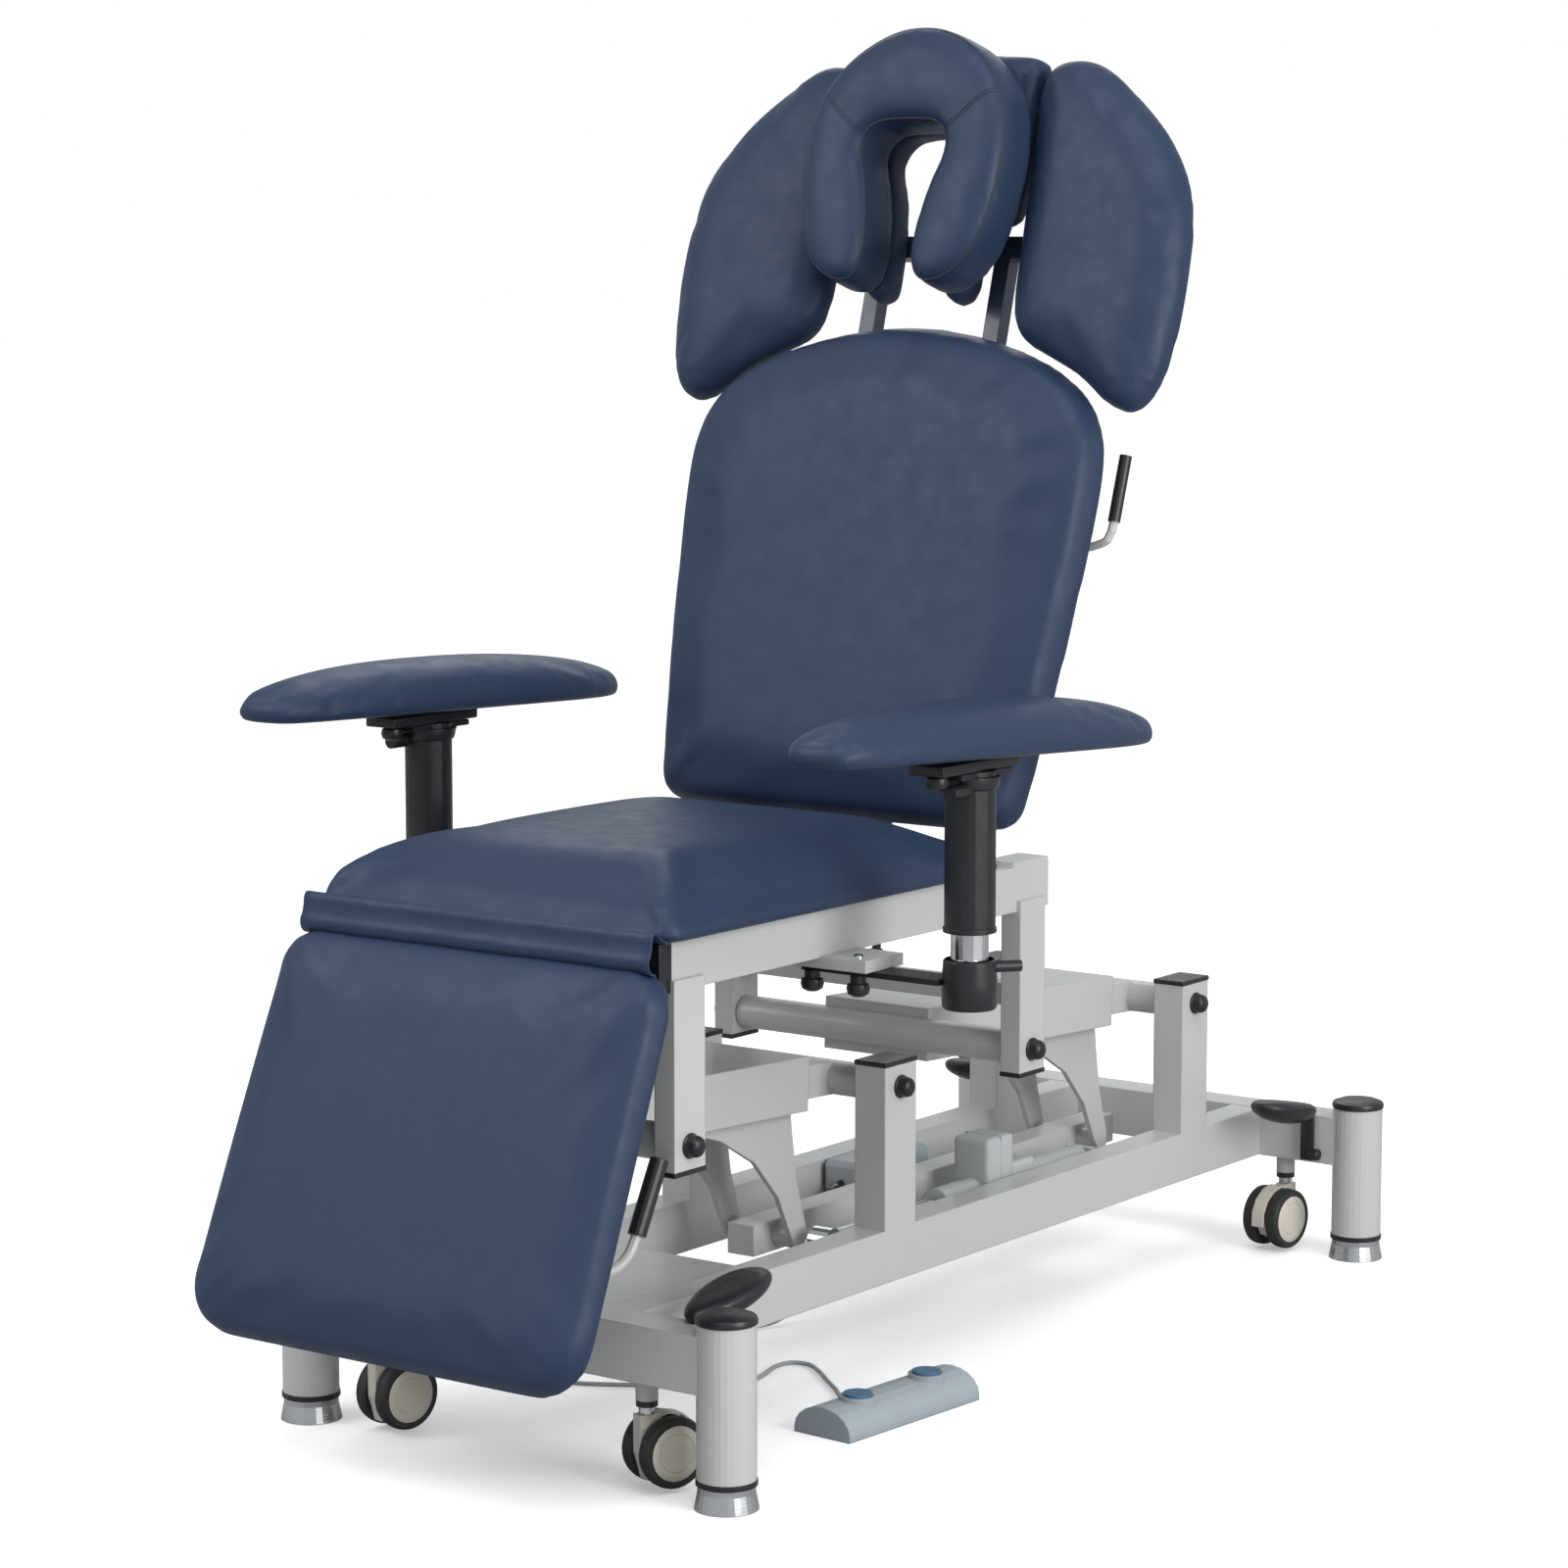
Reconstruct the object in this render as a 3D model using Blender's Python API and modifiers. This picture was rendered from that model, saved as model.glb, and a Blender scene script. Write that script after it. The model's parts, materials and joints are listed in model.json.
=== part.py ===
"""Patient recliner chair: an electric lift base, a three-section top, a face cradle and armrests.

Metres, +Z up. The sitter faces -Y, so the sitter's left is +X. The origin is on the floor,
under the middle of the whole chair. BASE_Y is how far the base's own middle lies behind it.
"""

import math

import bmesh
import bpy
from mathutils import Euler, Matrix, Vector

# ---- driving dimensions -------------------------------------------------------------------
BASE_Y = 0.0989
GAP = 0.0003
SIDES = (("left", 1), ("right", -1))
ENDS = (("front", -1), ("rear", 1))

# base frame
COLUMN_X, COLUMN_Y = 0.275, 0.642
COLUMN_RADIUS, COLUMN_TOP = 0.030, 0.187
FOOT_HEIGHT, FOOT_RADIUS = 0.0235, 0.0325
RAIL_OUT, RAIL_WIDE = 0.152, 0.040
RAIL_LOW, RAIL_HIGH = 0.116, 0.174
BEAM_WIDE, CROSS_HIGH = 0.048, 0.124
POST_TOP, POST_DEEP = 0.354, 0.059
STEM_X, STEM_RADIUS, SOCKET_LOW = 0.176, 0.0115, 0.0935

# lifting parallelogram: pivots at the posts (A), the drop legs (B) and the tie bar (P)
PIVOT_A_Z, PIVOT_B_Z, PIVOT_P_Z = 0.329, 0.350, 0.155
FRONT_A_Y, REAR_A_Y = -0.1635, 0.4585
ARM_RUN, LEVER_SET_BACK = 0.4512, 0.0415
PIVOT_TUBE = 0.019
ARM_HALF_WIDE, ARM_HALF_HIGH = 0.071, 0.030
LEVER_X, LEVER_THICK = 0.045, 0.006
TIE_WIDE, TIE_HIGH = 0.035, 0.034
ACTUATOR_X, ACTUATOR_REAR_Y = 0.080, 0.300

# upper frame and the three padded sections
UPPER_OUT, UPPER_WIDE = 0.205, 0.040
UPPER_LOW, UPPER_HIGH = 0.506, 0.556
UPPER_FRONT, UPPER_REAR = -0.654, 0.046
STEP_HIGH, STEP_FRONT = 0.561, -0.036
DROP_OUT, DROP_WIDE, DROP_DEEP, DROP_LOW = 0.210, 0.025, 0.050, 0.325
SEAT_FRONT, SEAT_REAR, SEAT_HALF, SEAT_TOP = -0.678, -0.075, 0.240, 0.624
LEG_HINGE = Vector((0, -0.672, 0.543))
LEG_ANGLE = math.radians(67.2)
BACK_HINGE = Vector((0, -0.046, 0.535))
BACK_LEAN = math.radians(15.7)
HEAD_AXIS = Vector((0, -0.0065, 0.7156))
HEAD_BASE = 0.6156

# armrests and the foot switch
ARM_POST_X, ARM_POST_Y = 0.360, -0.344
SWITCH_PLACE, SWITCH_TURN = Vector((0.215, -0.277, 0)), math.radians(-4)
CORD_RADIUS = 0.0025

COLOURS = {
    "frame": ((0.60, 0.62, 0.60), 0.35, 0.0),
    "vinyl": ((0.065, 0.090, 0.145), 0.55, 0.0),
    "black": ((0.012, 0.012, 0.015), 0.45, 0.0),
    "steel": ((0.62, 0.63, 0.65), 0.20, 1.0),
    "cream": ((0.62, 0.58, 0.50), 0.40, 0.0),
    "tyre": ((0.035, 0.045, 0.035), 0.60, 0.0),
    "grey": ((0.36, 0.40, 0.43), 0.50, 0.0),
    "blue": ((0.045, 0.15, 0.32), 0.40, 0.0),
}

# ---- scene and helpers --------------------------------------------------------------------
for old in list(bpy.data.objects):
    bpy.data.objects.remove(old, do_unlink=True)

chair = bpy.data.collections.new("patient_recliner_chair")
tools = bpy.data.collections.new("cutters_and_welds")
bpy.context.scene.collection.children.link(chair)
bpy.context.scene.collection.children.link(tools)


def pivot(name, place, turn=(0, 0, 0), parent=None):
    """An empty that marks a joint or a local frame."""
    empty = bpy.data.objects.new(name, None)
    empty.empty_display_size = 0.03
    empty.location = place
    empty.rotation_euler = Euler(turn)
    empty.parent = parent
    chair.objects.link(empty)
    return empty


def mesh_object(name, bm, parent):
    """Turns a bmesh into an object of the chair."""
    bmesh.ops.recalc_face_normals(bm, faces=bm.faces)
    mesh = bpy.data.meshes.new(name)
    bm.to_mesh(mesh)
    bm.free()
    made = bpy.data.objects.new(name, mesh)
    made.parent = parent
    chair.objects.link(made)
    return made


def box(name, low, high, parent=None, turn=None, about=(0, 0, 0)):
    """A box from its lowest and highest corners, turned about a point if asked."""
    bm = bmesh.new()
    bmesh.ops.create_cube(bm, size=1)
    low, high = Vector(low), Vector(high)
    size = high - low
    bmesh.ops.scale(bm, vec=size, verts=bm.verts)
    bmesh.ops.translate(bm, vec=(low + high) / 2, verts=bm.verts)
    if turn:
        bmesh.ops.rotate(bm, cent=about, matrix=Euler(turn).to_matrix(), verts=bm.verts)
    return mesh_object(name, bm, parent)


def rod(name, start, end, radius, parent=None, end_radius=None, sides=20):
    """A cylinder or cone between two points."""
    start, end = Vector(start), Vector(end)
    along = end - start
    bm = bmesh.new()
    bmesh.ops.create_cone(
        bm,
        cap_ends=True,
        segments=sides,
        radius1=radius,
        radius2=radius if end_radius is None else end_radius,
        depth=along.length,
    )
    facing = along.to_track_quat("Z", "Y").to_matrix().to_4x4()
    bmesh.ops.transform(bm, matrix=Matrix.Translation((start + end) / 2) @ facing, verts=bm.verts)
    return mesh_object(name, bm, parent)


def plate(name, outline, low, high, parent=None, normal="Z"):
    """A flat outline pushed out between two levels of the axis that it faces."""
    place = {
        "X": lambda a, b, c: (c, a, b),
        "Y": lambda a, b, c: (a, c, b),
        "Z": lambda a, b, c: (a, b, c),
    }[normal]
    bm = bmesh.new()
    face = bm.faces.new([bm.verts.new(place(a, b, low)) for a, b in outline])
    pushed = bmesh.ops.extrude_face_region(bm, geom=[face])["geom"]
    corners = [item for item in pushed if isinstance(item, bmesh.types.BMVert)]
    bmesh.ops.translate(bm, vec=Vector(place(0, 0, high - low)), verts=corners)
    return mesh_object(name, bm, parent)


def weld(body, *pieces):
    """Joins helper solids to a body with Boolean unions."""
    for count, piece in enumerate(pieces):
        to_tools(piece)
        joined = body.modifiers.new(f"weld_{count}", "BOOLEAN")
        joined.operation = "UNION"
        joined.object = piece
    return body


def cut(body, *pieces):
    """Takes helper solids out of a body with Boolean differences."""
    for count, piece in enumerate(pieces):
        to_tools(piece)
        taken = body.modifiers.new(f"cut_{count}", "BOOLEAN")
        taken.operation = "DIFFERENCE"
        taken.object = piece
    return body


def to_tools(piece):
    """Moves a helper out of the chair and keeps it out of the render."""
    chair.objects.unlink(piece)
    tools.objects.link(piece)
    piece.hide_render = True
    piece.display_type = "WIRE"


def soften(body, width, segments=2, angle=40):
    """Rounds the edges of a padded solid."""
    rounded = body.modifiers.new("rounded_edges", "BEVEL")
    rounded.width = width
    rounded.segments = segments
    rounded.limit_method = "ANGLE"
    rounded.angle_limit = math.radians(angle)
    return body


def finish(body, colour):
    """Gives a body its own material and smooth shading over its round stretches."""
    rgb, rough, metal = COLOURS[colour]
    made = bpy.data.materials.new(body.name + "_finish")
    made.use_nodes = True
    shader = made.node_tree.nodes["Principled BSDF"]
    shader.inputs["Base Color"].default_value = (*rgb, 1)
    shader.inputs["Roughness"].default_value = rough
    shader.inputs["Metallic"].default_value = metal
    made.diffuse_color = (*rgb, 1)
    body.data.materials.append(made)
    if body.type == "MESH":
        body.data.shade_smooth()
        body.data.set_sharp_from_angle(angle=math.radians(35))
    return body


def rounded_box_outline(low, high, radii, steps=4):
    """A rectangle's outline; the corner radii go round from the lowest corner."""
    corners = ((low[0], low[1]), (high[0], low[1]), (high[0], high[1]), (low[0], high[1]))
    points = []
    for quarter, ((x, y), radius) in enumerate(zip(corners, radii)):
        cx = x + radius * (1 if quarter in (0, 3) else -1)
        cy = y + radius * (1 if quarter in (0, 1) else -1)
        for step in range(steps + 1):
            angle = math.pi + math.pi / 2 * (quarter + step / steps)
            points.append((cx + radius * math.cos(angle), cy + radius * math.sin(angle)))
    return points


def smooth_loop(points, steps=3):
    """A closed Catmull-Rom curve through the points."""
    found = []
    count = len(points)
    for index in range(count):
        a, b, c, d = (Vector(points[(index + k) % count]) for k in (-1, 0, 1, 2))
        for step in range(steps):
            t = step / steps
            spot = (2 * b + (c - a) * t + (2 * a - 5 * b + 4 * c - d) * t**2) / 2
            spot += (3 * b - a - 3 * c + d) * t**3 / 2
            found.append((spot.x, spot.y))
    return found


def mirrored(half):
    """Closes a half outline by repeating it across x = 0."""
    return half + [(-x, y) for x, y in reversed(half) if x > 1e-6]


def smooth_path(points, steps=4):
    """An open Catmull-Rom curve through points in space."""
    spots = [Vector(p) for p in points]
    spots = [2 * spots[0] - spots[1], *spots, 2 * spots[-1] - spots[-2]]
    found = []
    for a, b, c, d in zip(spots, spots[1:], spots[2:], spots[3:]):
        for step in range(steps):
            t = step / steps
            spot = (2 * b + (c - a) * t + (2 * a - 5 * b + 4 * c - d) * t**2) / 2
            found.append(spot + (3 * b - a - 3 * c + d) * t**3 / 2)
    return [*found, spots[-2]]


def wire(name, points, radius, parent=None):
    """A round wire or tube with filled caps along the points."""
    curve = bpy.data.curves.new(name, "CURVE")
    curve.dimensions = "3D"
    curve.bevel_depth = radius
    curve.bevel_resolution = 2
    curve.use_fill_caps = True
    spline = curve.splines.new("POLY")
    spline.points.add(len(points) - 1)
    for point, place in zip(spline.points, points):
        point.co = (*place, 1)
    made = bpy.data.objects.new(name, curve)
    made.parent = parent
    chair.objects.link(made)
    return made


def as_mesh(curve_object):
    """Replaces a curve object by the mesh that it draws, with its caps welded on."""
    bpy.context.view_layer.update()
    graph = bpy.context.evaluated_depsgraph_get()
    mesh = bpy.data.meshes.new_from_object(curve_object.evaluated_get(graph))
    bm = bmesh.new()
    bm.from_mesh(mesh)
    bmesh.ops.remove_doubles(bm, verts=bm.verts, dist=1e-5)
    bm.to_mesh(mesh)
    bm.free()
    made = bpy.data.objects.new(curve_object.name + "_mesh", mesh)
    made.parent = curve_object.parent
    chair.objects.link(made)
    bpy.data.objects.remove(curve_object, do_unlink=True)
    return made


# ---- base ---------------------------------------------------------------------------------
def base_frame(base):
    """The welded frame: rails, beams, posts, columns, castor sockets and actuator lug."""
    rail_in = RAIL_OUT - RAIL_WIDE
    beam_in = COLUMN_Y - BEAM_WIDE / 2
    rail_end = beam_in + 0.01
    body = box("base_frame", (rail_in, -rail_end, RAIL_LOW), (RAIL_OUT, rail_end, RAIL_HIGH), base)
    parts = [box("rail_right", (-RAIL_OUT, -rail_end, RAIL_LOW), (-rail_in, rail_end, RAIL_HIGH), base)]
    for end, way in ENDS:
        middle = way * COLUMN_Y
        low = (-COLUMN_X, middle - BEAM_WIDE / 2, RAIL_LOW - 0.0005)
        high = (COLUMN_X, middle + BEAM_WIDE / 2, RAIL_HIGH + 0.0005)
        parts.append(box(f"beam_{end}", low, high, base))
    for side, way in SIDES:
        for end, end_way in ENDS:
            foot = (way * COLUMN_X, end_way * COLUMN_Y, FOOT_HEIGHT + GAP)
            top = (way * COLUMN_X, end_way * COLUMN_Y, COLUMN_TOP)
            parts.append(rod(f"column_{end}_{side}", foot, top, COLUMN_RADIUS, base, sides=28))
            socket = (way * STEM_X, end_way * COLUMN_Y, SOCKET_LOW)
            inside = (way * STEM_X, end_way * COLUMN_Y, RAIL_LOW + 0.02)
            parts.append(rod(f"socket_{end}_{side}", socket, inside, STEM_RADIUS, base, sides=16))
        for name, pivot_y in (("front", FRONT_A_Y), ("rear", REAR_A_Y)):
            xs = sorted((way * rail_in, way * RAIL_OUT))
            low = (xs[0] + 0.0002, pivot_y - POST_DEEP / 2, RAIL_LOW + 0.02)
            high = (xs[1] - 0.0002, pivot_y + POST_DEEP / 2, POST_TOP)
            parts.append(box(f"post_{name}_{side}", low, high, base))
    for name, at in (("mid", 0.105), ("rear", ACTUATOR_REAR_Y + 0.012)):
        low = (-rail_in - 0.01, at - 0.022, RAIL_LOW + 0.001)
        parts.append(box(f"cross_{name}", low, (rail_in + 0.01, at + 0.022, CROSS_HIGH), base))
    lug = ((ACTUATOR_X - 0.018, ACTUATOR_REAR_Y + 0.014, RAIL_LOW + 0.004),
           (ACTUATOR_X + 0.018, ACTUATOR_REAR_Y + 0.022, PIVOT_P_Z + 0.015))
    parts.append(box("actuator_lug", *lug, base))
    return finish(weld(body, *parts), "frame")


def base_fittings(base):
    """The deck plate, the feet and the control box."""
    rail_in = RAIL_OUT - RAIL_WIDE
    beam_in = COLUMN_Y - BEAM_WIDE / 2
    low = (-rail_in + GAP, -beam_in + GAP, RAIL_HIGH - 0.006)
    finish(box("front_deck_plate", low, (rail_in - GAP, -0.400, RAIL_HIGH - 0.003), base), "frame")
    for side, way in SIDES:
        for end, end_way in ENDS:
            at = (way * COLUMN_X, end_way * COLUMN_Y)
            foot = rod(f"{end}_{side}_foot", (*at, 0), (*at, FOOT_HEIGHT - 0.006), FOOT_RADIUS, base,
                       end_radius=COLUMN_RADIUS - 0.001, sides=28)
            ring = rod("foot_ring", (*at, FOOT_HEIGHT - 0.0062), (*at, FOOT_HEIGHT), COLUMN_RADIUS - 0.001,
                       base, sides=28)
            finish(weld(foot, ring), "steel")
    box_low = (-rail_in + 0.003, 0.055, CROSS_HIGH + GAP)
    control = box("control_box", box_low, (-0.058, 0.205, 0.176), base)
    finish(soften(control, 0.006, 1), "grey")


def castors(base):
    """Four retracting twin-wheel castors, each with its stem, fork, wheels and pedal."""
    wheel_radius, wheel_wide, half_track, trail = 0.0365, 0.017, 0.0165, 0.020
    axle_z = wheel_radius + 0.0035
    turns = {("front", "left"): -21, ("front", "right"): -12, ("rear", "left"): 174, ("rear", "right"): 165}
    for side, way in SIDES:
        for end, end_way in ENDS:
            name = f"{end}_{side}"
            stem = pivot(f"{name}_stem_axis", (way * STEM_X, end_way * COLUMN_Y, 0), parent=base)
            top, low = SOCKET_LOW - GAP, 0.0795
            ring = rod(f"{name}_castor_stem", (0, 0, top - 0.006), (0, 0, top), 0.0095, stem, sides=16)
            collar = rod("stem_collar", (0, 0, low), (0, 0, top - 0.0058), 0.0085, stem, sides=16)
            finish(weld(ring, collar), "steel")

            swivel = pivot(f"{name}_swivel", (0, 0, 0), (0, 0, math.radians(turns[end, side])), stem)
            hood = [(-0.012, low - GAP), (0.011, low - GAP), (0.014, 0.070), (0.026, 0.0665)]
            for step in range(4):
                angle = math.radians(50 - 30 * step)
                hood.append((trail + 0.030 * math.cos(angle), axle_z + 0.030 * math.sin(angle)))
            hood += [(0.024, 0.012), (-0.004, 0.013), (-0.012, 0.040)]
            fork = plate(f"{name}_castor_fork", hood, -0.0070, 0.0070, swivel, "X")
            finish(fork, "cream")

            axle = pivot(f"{name}_axle", (0, trail, axle_z), parent=swivel)
            wheels = []
            for half in (-1, 1):
                inner = half * (half_track - wheel_wide / 2)
                outer = half * (half_track + wheel_wide / 2)
                wheel = rod(f"wheel_{half}", (inner, 0, 0), (outer, 0, 0), wheel_radius, axle, sides=28)
                wheels.append(wheel)
            shaft = rod("wheel_shaft", (-half_track, 0, 0), (half_track, 0, 0), 0.0040, axle, sides=12)
            wheels[0].name = f"{name}_castor_wheels"
            finish(weld(wheels[0], wheels[1], shaft), "tyre")
            bore = rod("axle_bore", (-0.02, trail, axle_z), (0.02, trail, axle_z), 0.0043, swivel, sides=12)
            cut(fork, bore)

            hinge = pivot(f"{name}_pedal_axis", (way * 0.222, end_way * 0.605, 0.127), parent=base)
            lever_y = sorted((end_way * 0.0095, end_way * 0.0045))
            lever = box("pedal_lever", (-0.011, lever_y[0], -0.009), (0.011, lever_y[1], 0.060), hinge)
            tip = [(-0.014, 0), (0.014, 0), (0.026, -0.045), (0.029, -0.085), (0.022, -0.118),
                   (0, -0.128), (-0.022, -0.118), (-0.029, -0.085), (-0.026, -0.045)]
            outline = [(x, end_way * (y + 0.002)) for x, y in smooth_loop(tip, 2)]
            pedal = plate(f"{name}_pedal", outline, 0.0505, 0.068, hinge)
            tilt = Euler((-end_way * math.radians(10), 0, 0)).to_matrix().to_4x4()
            pedal.data.transform(tilt)
            finish(soften(weld(pedal, lever), 0.005, 2), "black")


# ---- lifting gear -------------------------------------------------------------------------
def lift_arm(name, pivot_y, base):
    """One arm: pivot tubes at both ends, a sheet box, and two lever plates down to the tie bar."""
    hinge = pivot(f"{name}_pivot", (0, pivot_y, PIVOT_A_Z), parent=base)
    rise = PIVOT_B_Z - PIVOT_A_Z
    slope = math.atan2(rise, ARM_RUN)
    clear = RAIL_OUT - RAIL_WIDE - 0.001
    legs = DROP_OUT - DROP_WIDE - 0.001
    arm = rod(name, (-clear, 0, 0), (clear, 0, 0), PIVOT_TUBE, hinge, sides=24)
    outer = rod("outer_tube", (-legs, -ARM_RUN, rise), (legs, -ARM_RUN, rise), PIVOT_TUBE, hinge, sides=24)
    far = -math.hypot(ARM_RUN, rise)
    wide, high = ARM_HALF_WIDE, ARM_HALF_HIGH
    tilt = (-slope, 0, 0)
    sheet = box("arm_box", (-wide, far, -high), (wide, -0.058, high), hinge, tilt)
    neck = box("arm_neck", (-wide + 0.004, -0.07, -0.018), (wide - 0.004, 0, 0.018), hinge, tilt)
    lever = [(-0.255, 0.0), (-0.062, -0.010), (-0.056, -0.060), (-0.048, -0.110),
             (-LEVER_SET_BACK + 0.012, -0.168), (-LEVER_SET_BACK + 0.009, -0.184),
             (-LEVER_SET_BACK - 0.006, -0.186), (-LEVER_SET_BACK - 0.016, -0.172),
             (-0.082, -0.122), (-0.125, -0.076), (-0.185, -0.042), (-0.250, -0.022)]
    levers = []
    for side, way in SIDES:
        at = sorted((way * (LEVER_X - LEVER_THICK / 2), way * (LEVER_X + LEVER_THICK / 2)))
        levers.append(plate(f"lever_{side}", lever, at[0], at[1], hinge, "X"))
    finish(weld(arm, outer, sheet, neck, *levers), "frame")
    return hinge


def tie_bar(front_arm):
    """The low square bar that keeps both arms parallel, with its two pivot bosses."""
    hinge = pivot("tie_bar_pivot", (0, -LEVER_SET_BACK, PIVOT_P_Z - PIVOT_A_Z), parent=front_arm)
    run = REAR_A_Y - FRONT_A_Y
    half, high = TIE_WIDE / 2, TIE_HIGH / 2
    bar = box("tie_bar", (-half, -0.045, -high), (half, run + 0.075, high), hinge)
    reach = LEVER_X - LEVER_THICK / 2 - 0.0005
    bosses = [rod("boss", (-reach, y, 0), (reach, y, 0), 0.0125, hinge, sides=16) for y in (0, run)]
    finish(weld(bar, *bosses), "frame")


def actuator(base):
    """The linear actuator: housing on the base lug, and the rod that pushes the front lever."""
    hinge = pivot("actuator_pivot", (ACTUATOR_X, ACTUATOR_REAR_Y, PIVOT_P_Z), parent=base)
    reach = FRONT_A_Y - LEVER_SET_BACK - ACTUATOR_REAR_Y
    housing = rod("actuator_housing", (0, 0.008, 0), (0, reach + 0.215, 0), 0.0190, hinge, sides=20)
    motor = box("motor", (-0.0245, -0.252, -0.0160), (0.0245, -0.132, 0.066), hinge)
    gear = box("gearbox", (-0.0235, -0.1322, -0.0150), (0.0235, -0.105, 0.030), hinge)
    bore = rod("rod_bore", (0, -0.20, 0), (0, reach - 0.1, 0), 0.0105, hinge, sides=16)
    finish(cut(weld(housing, motor, gear), bore), "grey")
    rod_end = rod("actuator_rod", (0, -0.262, 0), (0, reach + 0.010, 0), 0.0100, hinge, sides=16)
    eye = rod("rod_eye", (-0.012, reach, 0), (0.012, reach, 0), 0.0165, hinge, sides=20)
    finish(weld(rod_end, eye), "steel")


# ---- upper frame and seat -----------------------------------------------------------------
def upper_frame(base):
    """The welded frame that the seat is screwed to: rails, drop legs and cross members."""
    frame = pivot("upper_frame_pivot", (0, 0, 0), parent=base)
    inner = UPPER_OUT - UPPER_WIDE
    body = box("upper_frame", (inner, UPPER_FRONT, UPPER_LOW), (UPPER_OUT, UPPER_REAR, UPPER_HIGH), frame)
    other = box("rail", (-UPPER_OUT, UPPER_FRONT, UPPER_LOW), (-inner, UPPER_REAR, UPPER_HIGH), frame)
    parts = [other]
    for side, way in SIDES:
        xs = sorted((way * (inner + 0.0003), way * (UPPER_OUT - 0.0003)))
        step = [(STEP_FRONT, UPPER_HIGH - 0.02), (UPPER_REAR - 0.0003, UPPER_HIGH - 0.02),
                (UPPER_REAR - 0.0003, STEP_HIGH), (STEP_FRONT + 0.012, STEP_HIGH)]
        parts.append(plate(f"step_{side}", step, xs[0], xs[1], frame, "X"))
        for end, pivot_y in (("front", FRONT_A_Y), ("rear", REAR_A_Y)):
            middle = pivot_y - ARM_RUN
            xs = sorted((way * DROP_OUT, way * (DROP_OUT - DROP_WIDE)))
            low = (xs[0], middle - DROP_DEEP / 2, DROP_LOW)
            high = (xs[1], middle + DROP_DEEP / 2, UPPER_LOW + 0.012)
            parts.append(box(f"drop_leg_{end}_{side}", low, high, frame))
        xs = sorted((way * (inner + 0.0005), way * 0.262))
        low, high = (xs[0], -0.388, 0.4952), (xs[1], -0.320, UPPER_LOW + 0.002)
        parts.append(box(f"arm_plate_{side}", low, high, frame))
        lug = sorted((way * (inner - 0.006), way * (inner + 0.0005)))
        parts.append(box(f"hinge_lug_{side}", (lug[0], LEG_HINGE.y - 0.008, LEG_HINGE.z - 0.0085),
                         (lug[1], UPPER_FRONT + 0.03, LEG_HINGE.z + 0.0095), frame))
    for name, low, high in (("front", -0.622, -0.594), ("mid", -0.315, -0.285), ("rear", -0.150, -0.120)):
        corners = (-inner - 0.01, low, 0.524), (inner + 0.01, high, 0.5535)
        parts.append(box(f"cross_{name}", *corners, frame))
    drop_y = REAR_A_Y - ARM_RUN
    legs_in = DROP_OUT - DROP_WIDE
    low, high = (-legs_in - 0.01, drop_y - 0.012, 0.398), (legs_in + 0.01, drop_y + 0.012, 0.422)
    parts.append(box("cross_low", low, high, frame))
    spring_lug = box("spring_lug", (-0.012, -0.303, 0.478), (-0.0075, -0.289, 0.530), frame)
    finish(weld(body, *parts, spring_lug), "frame")

    profile = [(SEAT_REAR, UPPER_HIGH + GAP), (SEAT_REAR, 0.570), (-0.083, 0.582), (-0.105, 0.592),
               (-0.150, 0.606), (-0.260, SEAT_TOP), (-0.450, SEAT_TOP + 0.004), (-0.590, SEAT_TOP),
               (-0.645, 0.608), (-0.670, 0.588), (SEAT_FRONT, 0.572), (SEAT_FRONT, UPPER_HIGH + GAP)]
    seat = plate("seat_cushion", profile, -SEAT_HALF, SEAT_HALF, frame, "X")
    finish(soften(seat, 0.014, 2, 60), "vinyl")
    return frame


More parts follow.
